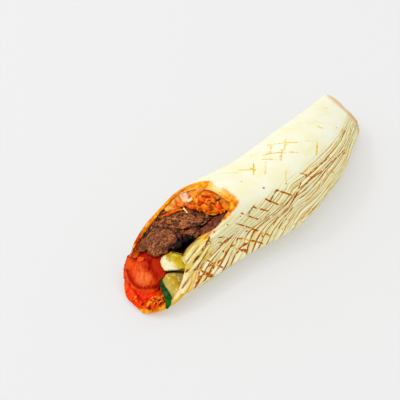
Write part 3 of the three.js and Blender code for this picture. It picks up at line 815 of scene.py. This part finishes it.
# The darkest tone is painted shade in the crevices between fibres; the lightest is fat with a painted glint.
flesh = lay_over(
    meat, blend(meat, ramp(meat, tone, 0.42, 0.5), "#260c04", "#b0632a"),
    (ramp(meat, tone, 0.5, 0.57), "#cb8242"), (ramp(meat, tone, 0.57, 0.64), "#f8cc9a"),
    (ramp(meat, speckle(meat, place, 6, 2), 0.45, 0.65, 0, 0.4), "#8a3a14"),
    (times(meat, read(meat, "redness"), 0.55), "#641a10"), (read(meat, "pit"), "#140604"))
wire(meat, meat_shader, Base_Color=flesh, Normal=bump(meat, tone, 1.0, 0.9),
     Roughness=ramp(meat, crumbs, 0.4, 0.6, 0.16, 0.6))

# %% Meat slices
# Node, new name, direction of the fibres, how red.
SLICES = [
    ("meat_slice_left", "meat_left", (0.87, 0.15, 0.47), 0.2),
    ("meat_slice_front", "meat_front", (0.93, -0.04, 0.37), 0.25),
    ("meat_slice_back", "meat_back", (0.57, -0.74, 0.34), 0.05),
    ("meat_slice_middle", "meat_middle", (0.63, -0.67, 0.38), 0.4),
    ("meat_slice_right", "meat_right", (0.94, -0.06, 0.34), 1.3),
]
# Painted shade in the gaps between the folds of the slices, as stops on the mouth's face.
MEAT_GAPS = [
    ((0.0, -18.8), (-0.9, -24.5), (-1.4, -32.0), (0.0, -36.3)),
    ((-11.1, -38.1), (-5.3, -39.6), (-1.4, -36.1)),
    ((-11.6, -24.4), (-8.9, -23.8), (-7.1, -25.0)), ((-5.3, -30.0), (-1.8, -27.5), (-0.4, -24.4)),
    ((-13.5, -23.1), (-11.2, -20.1), (-8.4, -20.6), (-6.5, -18.0), (-3.0, -16.5), (-0.9, -14.2)),
    ((-26.2, -52.5), (-24.4, -44.3), (-18.6, -40.2), (-12.0, -39.4), (-6.6, -41.4), (-5.5, -47.0)),
]


def along_fibres(points, fibre):
    """Points in a frame whose first axis is the fibres' direction."""
    first = np.array(fibre) / np.linalg.norm(fibre)
    third = np.cross(first, (0.2, 0.3, 1.0))
    third /= np.linalg.norm(third)
    return points @ np.stack([first, np.cross(third, first), third], 1)


for node, name, fibre, red in SLICES:
    piece, points, normals, behind_mouth = rebuild(node, name, "meat", wear=2, plump=0.15, reach=3.4,
                                                   proud=1.5, all_round=name == "meat_right")
    if name == "meat_front":  # its fold laps over the slice to its left
        lap = step(-11, -19, points @ RIGHT) * step(6, 2.5, behind_mouth) * step(-66, -60, points @ MOUTH_UP)
        points = points - (5.0 * lap)[:, None] * RIGHT + (1.3 * lap)[:, None] * MOUTH_OUT
        set_points(piece, points)
        normals = normals_of(piece)
    laid = along_fibres(points, fibre)
    threads_out = wander(laid, (6, 1.3, 1.3), 2)
    lumps = wander(points, 3.4, 3, 4.0)
    veins = np.abs(wander(laid, (8, 2.4, 2.4), 2, 9.0))
    cracks = step(0.1, 0.0, veins) * step(-0.15, 0.2, lumps)
    hollow = spot(points, 0, -40.5, 8, 4.2, 12)
    if name == "meat_front":
        hollow = np.maximum(hollow, 0.9 * spot(points, -4, -47.5, 5, 4))
    strayed = points + 0.8 * wander(points, 4, 2, 5.0)[:, None]
    gaps = np.maximum.reduce([near_line(strayed, stops, 0.9) for stops in MEAT_GAPS])
    sunk = step(-0.3, -0.75, lumps + 0.5 * threads_out)
    # Painted shade, kept in pit: faces turned away from the mouth, cracks, sunken parts, the hollow and the
    # gaps.
    turned_away = step(0.55, 0.15, normals @ MOUTH_OUT) * step(0.5, 2.5, behind_mouth)
    pit = cracks * 0.85 + sunk * 0.7 + turned_away + 0.85 * hollow + 0.75 * gaps
    paint(piece, grain=laid / (3.2, 0.7, 0.7), pit=np.clip(pit, 0, 1),
          redness=np.clip(red + 0.35 * wander(points, 7, 2, 2.0), 0, 1))
    push = 0.55 * threads_out + 0.9 * lumps - 0.9 * cracks - 2.0 * hollow - 0.7 * gaps
    finish_filling(piece, points, normals, behind_mouth, push, meat)

# %% [markdown]
# ### Tomato
# Ripe tomato, cut with a knife: skin is dark red and glossy, the cut flesh is lighter, orange-pink
# and wet. It lets light in a little way, which keeps it bright.


# %% Tomato materials
def wet_flesh(name, light, deep, pale, dark, gloss, depth=0.0, cell_mm=2.2):
    """A wet cut vegetable: two flesh tones, paler cells, and a tone for its dark parts and its painted shade,
    kept in one attribute.
    """
    material, shader = new_material(name, Roughness=gloss, Specular_IOR_Level=0.1, Subsurface_Weight=depth,
                                    Subsurface_Scale=0.002, Subsurface_Radius=(1.0, 0.5, 0.25))
    place = add(material, "TexCoord", output="Object")
    cells = speckle(material, place, cell_mm, 3)
    colour = lay_over(
        material, blend(material, ramp(material, speckle(material, place, 5, 2), 0.4, 0.6), light, deep),
        (ramp(material, cells, 0.55, 0.7, 0, 0.6), pale), (read(material, "pale"), pale),
        (read(material, "rind"), dark))
    wire(material, shader, Base_Color=colour, Normal=bump(material, cells, 0.5, 0.6))
    return material


tomato_red = wet_flesh("ripe_tomato", "#ff4200", "#fb2200", "#ff7a18", "#960c00", 0.13)
tomato_cut = wet_flesh("cut_tomato_flesh", "#f2600a", "#e84a04", "#f47c3c", "#aa1402", 0.13)
tomato_pale = wet_flesh("oiled_tomato_cube", "#f2a030", "#e6801a", "#fbd8bc", "#b83c06", 0.15)
oiled_pepper = wet_flesh("oiled_pepper_piece", "#f2b040", "#ea8a1c", "#f8dc98", "#c05008", 0.12)

# %% Tomato pieces
# Outlines of the wedge's cut face and of its top and side, which get painted shade, and the crease
# between the wedge and the slice below it.
WEDGE_FACE = [(-22.0, -68.9), (-18.4, -73.0), (-12.4, -76.2), (-7.7, -76.9), (-3.3, -74.4), (-2.3, -71.0),
              (-4.4, -67.2), (-8.0, -63.9), (-12.4, -61.9), (-15.2, -64.6), (-19.6, -65.4)]
WEDGE_SIDE = [(-7.4, -63.7), (-3.6, -63.4), (-0.5, -67.1), (-0.4, -69.9), (-3.1, -68.8), (-5.2, -67.2)]
WEDGE_TOP = [(-20.1, -62.3), (-15.5, -60.9), (-13.8, -59.1), (-11.8, -61.4), (-14.6, -63.9), (-18.6, -65.0)]
WEDGE_FOOT = [(-20.8, -73.6), (-19.1, -74.8), (-15.6, -76.9), (-11.6, -78.2), (-8.2, -77.9),
              (-4.4, -75.7), (-1.1, -72.9), (0.9, -70.5)]
CUBE_HEART = [(-28.1, -22.4), (-27.0, -17.9), (-21.6, -16.1), (-16.5, -18.5), (-17.3, -22.3), (-22.2, -24.9)]
DRAWN_BACK = 2.5  # mm by which the tomatoes lie behind the inner layer's edge


def under_edge(points):
    """1 at the tomatoes' upper left, where the inner layer's edge lies over them."""
    return step(-67.5, -64, points @ MOUTH_UP) * step(-20.5, -23.5, points @ RIGHT)


def tomato_fibres(points):
    """Streaks that run down the flesh, as a number from about -1 to 1."""
    right, up = flat_on_face(points).T
    return wander(np.stack([0.55 * right - 0.83 * up, 0.83 * right + 0.55 * up, points[:, 2]], 1),
                  (8, 1.5, 4), 3, 4.0)


big_tomato = dict(slot="tomato", reach=9, proud=5.0, spill=3.4)
piece, points, normals, behind_mouth = rebuild("tomato_slice_lower", "tomato_lower", wear=8, plump=0.8,
                                               **big_tomato)
folds, fibres = wander(points, (7, 3.5, 5), 3, 1.0), tomato_fibres(points)
# Painted shade darkens the creases, the sunken folds, the part under the wedge's top and the part under the
# inner layer's edge; painted light makes the raised folds paler, and a lighter band runs along the left
# flank.
crease = np.maximum.reduce([
    near_line(points, ((-20.7, -76.3), (-15.4, -79.0), (-7.7, -81.1), (-0.6, -82.7)), 0.9) * 0.6,
    near_line(points, ((0.1, -84.6), (1.9, -82.0), (3.3, -78.9)), 1.0), near_line(points, WEDGE_FOOT, 1.2)])
flank = near_line(points, ((-22.2, -76.1), (-19.6, -79.5), (-15.3, -82.5)), 3.0)
shaded = np.maximum(0.8 * within(points, WEDGE_TOP, 1.2), 0.9 * under_edge(points))
rind = step(-0.3, -0.8, folds) * 0.5 + 0.25 * step(0.0, -0.6, fibres) + 0.9 * crease + shaded
paint(piece, rind=np.clip(rind, 0, 1),
      pale=np.clip(step(0.1, 0.7, folds) * 0.4 + 0.5 * flank, 0, 1) * (1 - crease))
points -= (DRAWN_BACK * under_edge(points))[:, None] * MOUTH_OUT
finish_filling(piece, points, normals, behind_mouth, 0.6 * folds + 0.15 * fibres - 0.7 * crease, tomato_red)

piece, points, normals, behind_mouth = rebuild("tomato_wedge", "tomato_wedge_cut", wear=60, plump=1.3,
                                               **big_tomato)
bulge, fibres = wander(points, 6, 3, 6.0), tomato_fibres(points)
cut_face = within(points, WEDGE_FACE, 0.9)
border = near_outline(points, WEDGE_FACE, 0.9) * (1 - cut_face)
foot = near_line(points, WEDGE_FOOT, 1.1)
# Painted shade on the wedge's top and right side, next to the meat, round the cut face, in the crease at its
# foot, in its dips and under the inner layer's edge; its skin off the cut face is a little darker red.
dark = np.maximum(within(points, WEDGE_TOP, 1.2), 0.75 * within(points, WEDGE_SIDE, 0.8))
near_meat = step(-69, -65, points @ MOUTH_UP)
rind = ((1 - cut_face) * 0.15 + np.maximum(dark * 0.9, near_meat * 0.6) + 0.3 * border + 0.8 * foot
        + 0.4 * step(0.05, -0.5, fibres) + 0.2 * step(0.0, -0.6, bulge) + 0.9 * under_edge(points))
# A painted highlight on the cut face: a patch and streaks.
pale = spot(points, -8.5, -72.4, 6, 4, 30, 1.0) * 0.95 + 0.3 * step(0.1, 0.6, fibres)
paint(piece, rind=np.clip(rind, 0, 1), pale=np.clip(pale * cut_face, 0, 1))
points -= (DRAWN_BACK * under_edge(points))[:, None] * MOUTH_OUT
push = 0.3 * bulge + 0.2 * fibres + 0.8 * (cut_face - 0.6) - 0.3 * border - 0.6 * foot
finish_filling(piece, points, normals, behind_mouth, push, tomato_cut)

for node, name in (("tomato_piece_upper", "tomato_upper"), ("tomato_cube_upper", "tomato_cube")):
    piece, points, normals, behind_mouth = rebuild(node, name, "tomato", wear=2, plump=0.4, reach=4.5,
                                                   proud=2.0)
    bulge = wander(points, (5, 2.5, 4), 3)
    heart = within(points, CUBE_HEART, 1.2) if name == "tomato_cube" else 0.35 * step(0.1, 0.6, bulge)
    border = near_outline(points, CUBE_HEART, 1.3)
    # The dips are darkened as painted shade; on the pepper piece the bulges are paler as a painted highlight,
    # and on the cube a darker edge runs round its pale heart.
    paint(piece, rind=np.clip(step(-0.1, -0.6, bulge) * 0.5 + 0.7 * border * (1 - 0.8 * heart), 0, 1),
          pale=heart * (0.75 + 0.25 * bulge))
    finish_filling(piece, points, normals, behind_mouth, 0.45 * bulge,
                   tomato_pale if name == "tomato_cube" else oiled_pepper)

# %% [markdown]
# ### Cucumber
# Slices of unpeeled cucumber: yellow-green watery flesh, darkened with painted shade where they lie
# under the bread's loose corner or under one another.

# %% Cucumber material and slices
cucumber = wet_flesh("cucumber_flesh", "#d0b824", "#bc980a", "#f2ebc0", "#2a1806", 0.15, 0.05)
UNDER_FLAP = [(-12, -42), (-5, -36), (3, -34), (6, -40), (5, -47), (0.5, -48), (-5, -49.5), (-12, -46)]
BETWEEN_SLICES = ((-2.4, -64.8), (-0.8, -61.9), (2.6, -59.0), (7.8, -56.0), (11.3, -55.6))
for node, name in (("cucumber_slice_lower", "cucumber_lower"), ("cucumber_slice_upper", "cucumber_upper")):
    piece, points, normals, behind_mouth = rebuild(node, name, "cucumber", wear=2, plump=0.6, reach=3.4,
                                                   all_round=True)
    slope = points @ MOUTH_UP + 0.12 * (points @ RIGHT) + 1.2 * wander(points, (3, 2, 2), 3)
    if name == "cucumber_lower":  # brownish under the slice above it, paler towards its peel
        # The lower slice gets painted shade under the slice above it, kept in toasted.
        away = (slope + 57.0) / -12
        pale, toasted = 0.3 * step(0.4, 1.0, away), 0.4 * step(0.5, 0.1, away)
    else:
        pale = step(-54.0, -56.5, slope) * step(-0.6, 0.1, wander(points, (2.5, 1.5, 1.5), 3, 6.0) + 0.3)
        toasted = 0.0
    # Painted shade: the hollow under the loose corner, the edges turned away from the mouth and the line
    # between the slices.
    hollow = within(points, UNDER_FLAP, 1.2)
    edge = step(0.75, 0.3, normals @ MOUTH_OUT) * step(0.3, 1.5, behind_mouth) * 0.6
    line = near_line(points, BETWEEN_SLICES, 1.2)
    paint(piece, pale=pale * 0.95, rind=np.clip(edge + line + hollow + toasted, 0, 1))
    push = 0.25 * wander(points, 3.5, 3)
    points -= (2.5 * hollow)[:, None] * MOUTH_OUT
    finish_filling(piece, points, normals, behind_mouth, push, cucumber)

# %% [markdown]
# ### Grated carrot
# A heap of shreds, wet with sauce. Its solid is only the heap's outline, so a worn copy of it is the
# core, and real shreds lie over it. One shred is modelled as a five-sided stick, cut across into
# short lengths so that it can bend, and copied; each copy is bent and laid on the core.

# %% Carrot heaps
carrot = wet_flesh("grated_carrot", "#f9860a", "#ea4c04", "#fdbc30", "#6a1802", 0.18, 0.0, 1.6)
carrot_in_sauce = wet_flesh("grated_carrot_in_tomato_sauce", "#f8640a", "#ee3c04", "#fcae2c", "#8a1a02",
                            0.16, 0.0, 1.6)
# Where grated carrot shows in the upper part of the mouth. Above it lies the oily sheet itself.
SALAD_SHOWS = [(-19.0, -22.0), (-17.3, -18.5), (-15.1, -15.5), (-10.0, -12.0), (-5.9, -10.2), (-2.6, -10.4),
               (1.9, -12.0), (5.6, -14.6), (1.4, -17.2), (-3.2, -19.4), (-8.2, -20.9), (-12.1, -24.0),
               (-15.8, -26.3), (-18.7, -29.0)]
SHRED_LENGTH, SHRED_THICK = 9.0, 1.25  # as modelled, in mm
LENGTHS, THICKNESSES = (1.6, 4.6), (0.7, 1.7)  # as laid
SHRED_LIFT, LIFTS = 0.2, (-0.4, 1.5)  # mm above the core: for all shreds, and for one
BENDS, TWISTS = (0.1, 0.6), (-0.9, 0.9)  # mm by which a shred's ends bend down and sideways
random.seed(7)


def model_shred():
    bpy.ops.mesh.primitive_cylinder_add(vertices=5, radius=SHRED_THICK / 2 * MM, depth=SHRED_LENGTH * MM,
                                        location=(0, 0, 0), rotation=(0, math.pi / 2, 0))
    shred = bpy.context.object
    bpy.ops.object.transform_apply(rotation=True)
    bpy.ops.object.mode_set(mode="EDIT")
    for share in (-0.3, -0.1, 0.1, 0.3):
        bpy.ops.mesh.select_all(action="SELECT")
        bpy.ops.mesh.bisect(plane_co=(share * SHRED_LENGTH * MM, 0, 0), plane_no=(1, 0, 0))
    bpy.ops.object.mode_set(mode="OBJECT")
    shape = points_of(shred)
    faces = [tuple(face.vertices) for face in shred.data.polygons]
    bpy.data.objects.remove(shred)
    return shape, faces


shred_shape, shred_faces = model_shred()
print("one shred", len(shred_faces), "faces")


def lay_shreds(name, material, core_points, core_normals, chosen):
    """Lays a shred at each chosen point of a core, along its surface and bent down to it."""
    corners, faces, tones = [], [], []
    for index in chosen:
        up = core_normals[index]
        run = Vector((random.gauss(0, 1), random.gauss(0, 1), random.gauss(0, 0.7)))
        run = np.array(run) - up * np.dot(run, up)
        run /= np.linalg.norm(run)
        out = np.cross(up, run)
        size = random.uniform(*LENGTHS) / SHRED_LENGTH
        fat = random.uniform(*THICKNESSES) / SHRED_THICK
        bend, twist = random.uniform(*BENDS), random.uniform(*TWISTS)
        share = shred_shape[:, 0] / (SHRED_LENGTH / 2)
        taper = 1 - 0.45 * np.abs(share) ** 3
        line = (core_points[index] + up * (SHRED_LIFT + random.uniform(*LIFTS))
                + np.outer(shred_shape[:, 0] * size, run)
                + np.outer(share**2 * twist, out) - np.outer(share**2 * bend, up))
        line += np.outer(shred_shape[:, 1] * fat * 1.25 * taper, out)
        line += np.outer(shred_shape[:, 2] * fat * 0.8 * taper, up)
        faces += [tuple(corner + len(corners) for corner in face) for face in shred_faces]
        corners += (line * MM).tolist()
        tones += [random.random()] * len(line)
    mesh = bpy.data.meshes.new(name)
    mesh.from_pydata(corners, [], faces)
    piece = bpy.data.objects.new(name, mesh)
    bpy.context.scene.collection.objects.link(piece)
    tone = np.array(tones)
    paint(piece, pale=step(0.55, 0.95, tone) * 0.9, rind=step(0.3, 0.0, tone) * 0.7)
    modify(piece, "BEVEL", width=0.08 * MM, segments=1)
    bpy.ops.object.shade_smooth_by_angle(angle=math.radians(35))
    hand_over(piece, material)


# Node, new name, how far the heap falls back from the bread above it, most shreds, material.
HEAPS = [("carrot_heap_lower", "carrot_lower", 0.0, 110, carrot_in_sauce),
         ("salad_heap_upper", "salad_upper", 3.0, 300, carrot)]
for node, name, sink_back, count, sauce in HEAPS:
    piece, points, normals, behind_mouth = rebuild(node, name + "_core", "carrot", wear=3, plump=0.2,
                                                   reach=2.0, grain_mm=0.6)
    if sink_back:  # the inside of the bread shows above it
        points[:, 0] += step(7, 1.5, gap_to_bread(points)) * step(12, 4, behind_mouth) * sink_back
        behind_mouth = behind_cut(points)
    push = 0.5 * wander(points, 2.5, 3)
    points = finish_filling(piece, points, normals, behind_mouth, push, sauce)
    grated = within(points, SALAD_SHOWS, 1.0) if sink_back else np.ones(len(points))
    golden = np.clip(0.45 + 0.5 * wander(points, 3, 2, 3.0), 0, 1)
    # Where shreds lie on the core it is painted dark, as the shade in the gaps between them; elsewhere it is
    # golden.
    paint(piece, pale=(1 - grated) * golden,
          rind=np.clip(0.85 + 0.5 * wander(points, 3, 2), 0, 1) * grated)
    front = (behind_mouth < 5.5) & ((normals @ MOUTH_OUT) > 0.2) & (grated > 0.6)
    front = [int(i) for i in np.nonzero(front)[0]]
    lay_shreds(name + "_shreds", sauce, points, normals, random.sample(front, min(count, len(front))))

# %% [markdown]
# ### A strip of cucumber peel
# The lower slice shows its dark green skin, a strip that runs down past the carrot to the bread.

# %% Cucumber peel
peel, peel_shader = new_material("cucumber_skin", Roughness=0.25, Specular_IOR_Level=0.2)
place = add(peel, "TexCoord", output="Object")
wire(peel, peel_shader,
     Base_Color=blend(peel, ramp(peel, speckle(peel, place, 2.5, 3), 0.4, 0.62), "#063a02", "#1c6c08"))


def strip(name, path, widths, thick, material, ripple, facing=MOUTH_OUT):
    """A flat strip along a path, looking to facing, widths across and thick, rounded off."""
    bpy.ops.mesh.primitive_grid_add(x_subdivisions=len(path) - 1, y_subdivisions=3, size=1)
    piece = bpy.context.object
    piece.name = name
    grid = points_of(piece) * MM  # from -0.5 to 0.5
    stations = np.clip(grid[:, 0] + 0.5, 0, 1) * (len(path) - 1)
    runs = np.gradient(np.array(path, float), axis=0)
    runs /= np.linalg.norm(runs, axis=1)[:, None]
    width = np.interp(stations, range(len(path)), widths)
    across = np.cross(facing, follow(runs, stations))
    arch = 0.35 * width * (0.25 - grid[:, 1] ** 2) * 2
    sideways = across * (grid[:, 1] * width)[:, None]
    set_points(piece, follow(path, stations) + sideways + np.outer(arch, facing))
    modify(piece, "SOLIDIFY", thickness=thick * MM, offset=-1)
    modify(piece, "SUBSURF", levels=2, render_levels=2)
    body = points_of(piece)
    set_points(piece, body + normals_of(piece) * (ripple * wander(body, 2.5, 2))[:, None])
    turn_outwards(piece)
    return hand_over(piece, material)


def face_path(*stops):
    return [on_face(*stop) for stop in stops]


strip("cucumber_peel",
      face_path((0.6, -65.5, 0.9), (2.4, -67.8, 1.2), (6.2, -70.0, 2.0), (10.5, -71.3, 2.3),
                (13.8, -73.4, 2.1), (15.0, -76.0, 1.4), (15.2, -78.2, 0.8)),
      (1.0, 2.2, 3.8, 4.6, 4.4, 3.6, 2.0), 1.2, peel, 0.1)

# %% [markdown]
# ### The sheet's loose corner and inner edge
# The corner of the sheet that was tucked in last stands up at the mouth's right edge. It is thin and
# split, so it is laid over the bread as three narrow leaves with dark slits between them. At the
# left the edge of an inner layer shows, soaked with oil and sauce.

# %% Leaves of the loose corner
# Each leaf's stops on the skin, in mm, and its width at each stop.
LEAVES = [
    ([(-55.5, -6.3, 25.2), (-58.7, -5.4, 24.0), (-61.5, -4.9, 22.6), (-64.4, -5.3, 21.0),
      (-66.9, -6.0, 19.7)], (1.0, 2.6, 3.2, 3.0, 1.4)),
    ([(-53.3, -8.1, 25.2), (-56.7, -7.8, 23.4), (-60.3, -7.7, 21.5), (-64.0, -7.7, 19.9),
      (-67.9, -7.8, 18.5)], (1.0, 2.2, 2.6, 2.6, 1.4)),
    ([(-50.9, -10.2, 25.2), (-54.5, -10.1, 21.6), (-59.2, -10.6, 19.5), (-64.5, -11.2, 17.9),
      (-69.6, -11.7, 16.9)], (1.0, 2.0, 2.2, 2.0, 1.2)),
]
for number, (stops, widths) in enumerate(LEAVES, start=1):
    nearest = [np.argmin(((skin - stop) ** 2).sum(1)) for stop in stops]
    facing = skin_normal[nearest].mean(0)
    facing /= np.linalg.norm(facing)
    leaf = strip(f"lavash_leaf_{number}", stops + 0.5 * facing, widths, 0.8, dough, 0.12, facing)
    body = points_of(leaf)
    paint(leaf, flap=np.ones(len(body)),
          streak_place=np.stack([body[:, 0] / 6, body[:, 1] / 1.1, body[:, 2] / 6], 1))

# %% Edge of the inner layer
inner_edge = strip(
    "soaked_inner_edge",
    face_path((-26.2, -62, 0.9), (-27.2, -54.5, 1.4), (-27.6, -47, 1.2), (-27.6, -40.5, 0.9),
              (-27.3, -33.5, 0.9), (-26.7, -26.5, 0.9), (-25.4, -19.5, 0.8), (-22.5, -13, 0.6)),
    (1.6, 3.0, 3.2, 2.8, 2.5, 2.2, 2.0, 1.2), 0.9, dough, 0.4)
body = points_of(inner_edge)
low_part = step(-36, -50, body @ MOUTH_UP)
# Its lower part gets sauce and patches of painted shade.
paint(inner_edge, soaked=np.ones(len(body)), sauced=low_part * step(-0.2, 0.4, wander(body, 3, 2)),
      shade=low_part * step(0.0, 0.5, wander(body, (3, 2, 2), 2, 6.0)) * 0.7)

# %% [markdown]
# ### Small pieces
# Cubes of carrot, chips of onion and a shred of herb lie loose on the mouth's face. Each starts as a
# cube of its own size, is rounded by subdivision and made uneven, and is laid on the face.

# %% Small pieces
onion = wet_flesh("raw_onion", "#f6ecc0", "#ecd98c", "#fdf8e6", "#d8a23c", 0.3)
herb = wet_flesh("parsley_stem", "#5a3a1c", "#3c2410", "#7a5a2c", "#241006", 0.5)


def lay_bits(name, material, bits):
    """Bits are (right, up, out, length, width, thickness, turn in degrees) on the mouth's face."""
    made = []
    for right, up, out, length, width, thick, turned in bits:
        bpy.ops.mesh.primitive_cube_add(size=1)
        bit = bpy.context.object
        shape = points_of(bit) * MM * (length, width, thick)
        c, s = math.cos(math.radians(turned)), math.sin(math.radians(turned))
        run, across = RIGHT * c + MOUTH_UP * s, MOUTH_UP * c - RIGHT * s
        set_points(bit, on_face(right, up, out) + shape @ np.stack([run, across, MOUTH_OUT]))
        modify(bit, "BEVEL", width=0.12 * min(width, thick) * MM, segments=2)
        modify(bit, "SUBSURF", levels=2, render_levels=2)
        body = points_of(bit)
        set_points(bit, body + normals_of(bit) * (0.25 * wander(body, 2.2, 2))[:, None])
        made.append(bit)
    piece = join(made, name)
    turn_outwards(piece)
    body = points_of(piece)
    paint(piece, pale=step(0.1, 0.8, wander(body, 3, 2)), rind=step(0.25, 0.8, wander(body, 3, 2, 4.0)) * 0.5)
    hand_over(piece, material)


lay_bits("carrot_cubes", carrot, [
    (-16.6, -64.2, 1.6, 3.6, 3.2, 2.4, 20), (-18.6, -24.7, 0.8, 5.0, 3.0, 2.4, 30),
    (2.1, -14.1, 1.0, 4.2, 3.0, 2.4, 65), (-12.5, -22.5, 0.8, 3.8, 2.4, 2, 10),
    (4.8, -77.9, 1.2, 2.2, 1.8, 1.5, 0), (0.5, -80, 1.2, 1.8, 1.5, 1.3, 40),
    (-5, -83, 1.2, 1.6, 1.4, 1.2, 15)])
strip("carrot_strip",
      face_path((-24.1, -37.8, 0.9), (-22.0, -34.2, 1.4), (-19.6, -30.8, 1.6), (-17.4, -28.0, 1.6),
                (-14.6, -25.7, 1.2)),
      (0.7, 1.5, 1.9, 1.6, 0.9), 0.9, carrot, 0.15)
lay_bits("onion_chips", onion, [(-15.2, -19.4, 1.3, 3.4, 1.8, 1.2, 70),
                                         (-13.5, -25.8, 1.0, 4.2, 0.9, 0.8, -14)])
lay_bits("herb_shreds", herb, [(-0.8, -11.5, 1.4, 6.0, 0.9, 0.8, 70),
                                       (-3.5, -15.5, 1.2, 4.0, 0.9, 0.8, 20)])

# %% [markdown]
# ### Crumbs
# Flecks of tomato and toasted crumbs stick to the bread round the mouth, where they fell in cutting.

# %% Crumbs
toast = wet_flesh("toasted_crumb", "#9a6a1c", "#7c4410", "#b88a30", "#5a2c08", 0.6)
FLECKS = [
    ("tomato_flecks", tomato_red, "tomato", [(-40.5, -8.6, 32.4), (-46.2, -8.8, 29.9)]),
    ("toasted_crumbs", toast, "bread", [
        (-37.6, -11.5, 31.2), (-43.4, -11.5, 25.3), (-53.0, -11.9, 19.2), (-45.1, -14.8, 17.5),
        (-28.5, -13.4, 32.3), (-7.8, -11.8, 39.5), (6.0, -18.5, 37.3), (-26.2, -16.4, 20.8),
        (-54.9, -15.9, 15.2)]),
]
for name, material, slot, stops in FLECKS:
    made = []
    for stop in stops:
        nearest = np.argmin(((skin - stop) ** 2).sum(1))
        bpy.ops.mesh.primitive_ico_sphere_add(subdivisions=2, radius=1 * MM)
        fleck = bpy.context.object
        size = random.uniform(0.35, 0.6)
        body = points_of(fleck)
        body *= 1 + 0.3 * wander(body, 0.8, 2, nearest * 0.1)[:, None]
        set_points(fleck, skin[nearest] + body * (size, size * random.uniform(0.6, 1.4), 0.6 * size))
        made.append(fleck)
    piece = join(made, name)
    bpy.ops.object.shade_smooth()
    hand_over(piece, material)
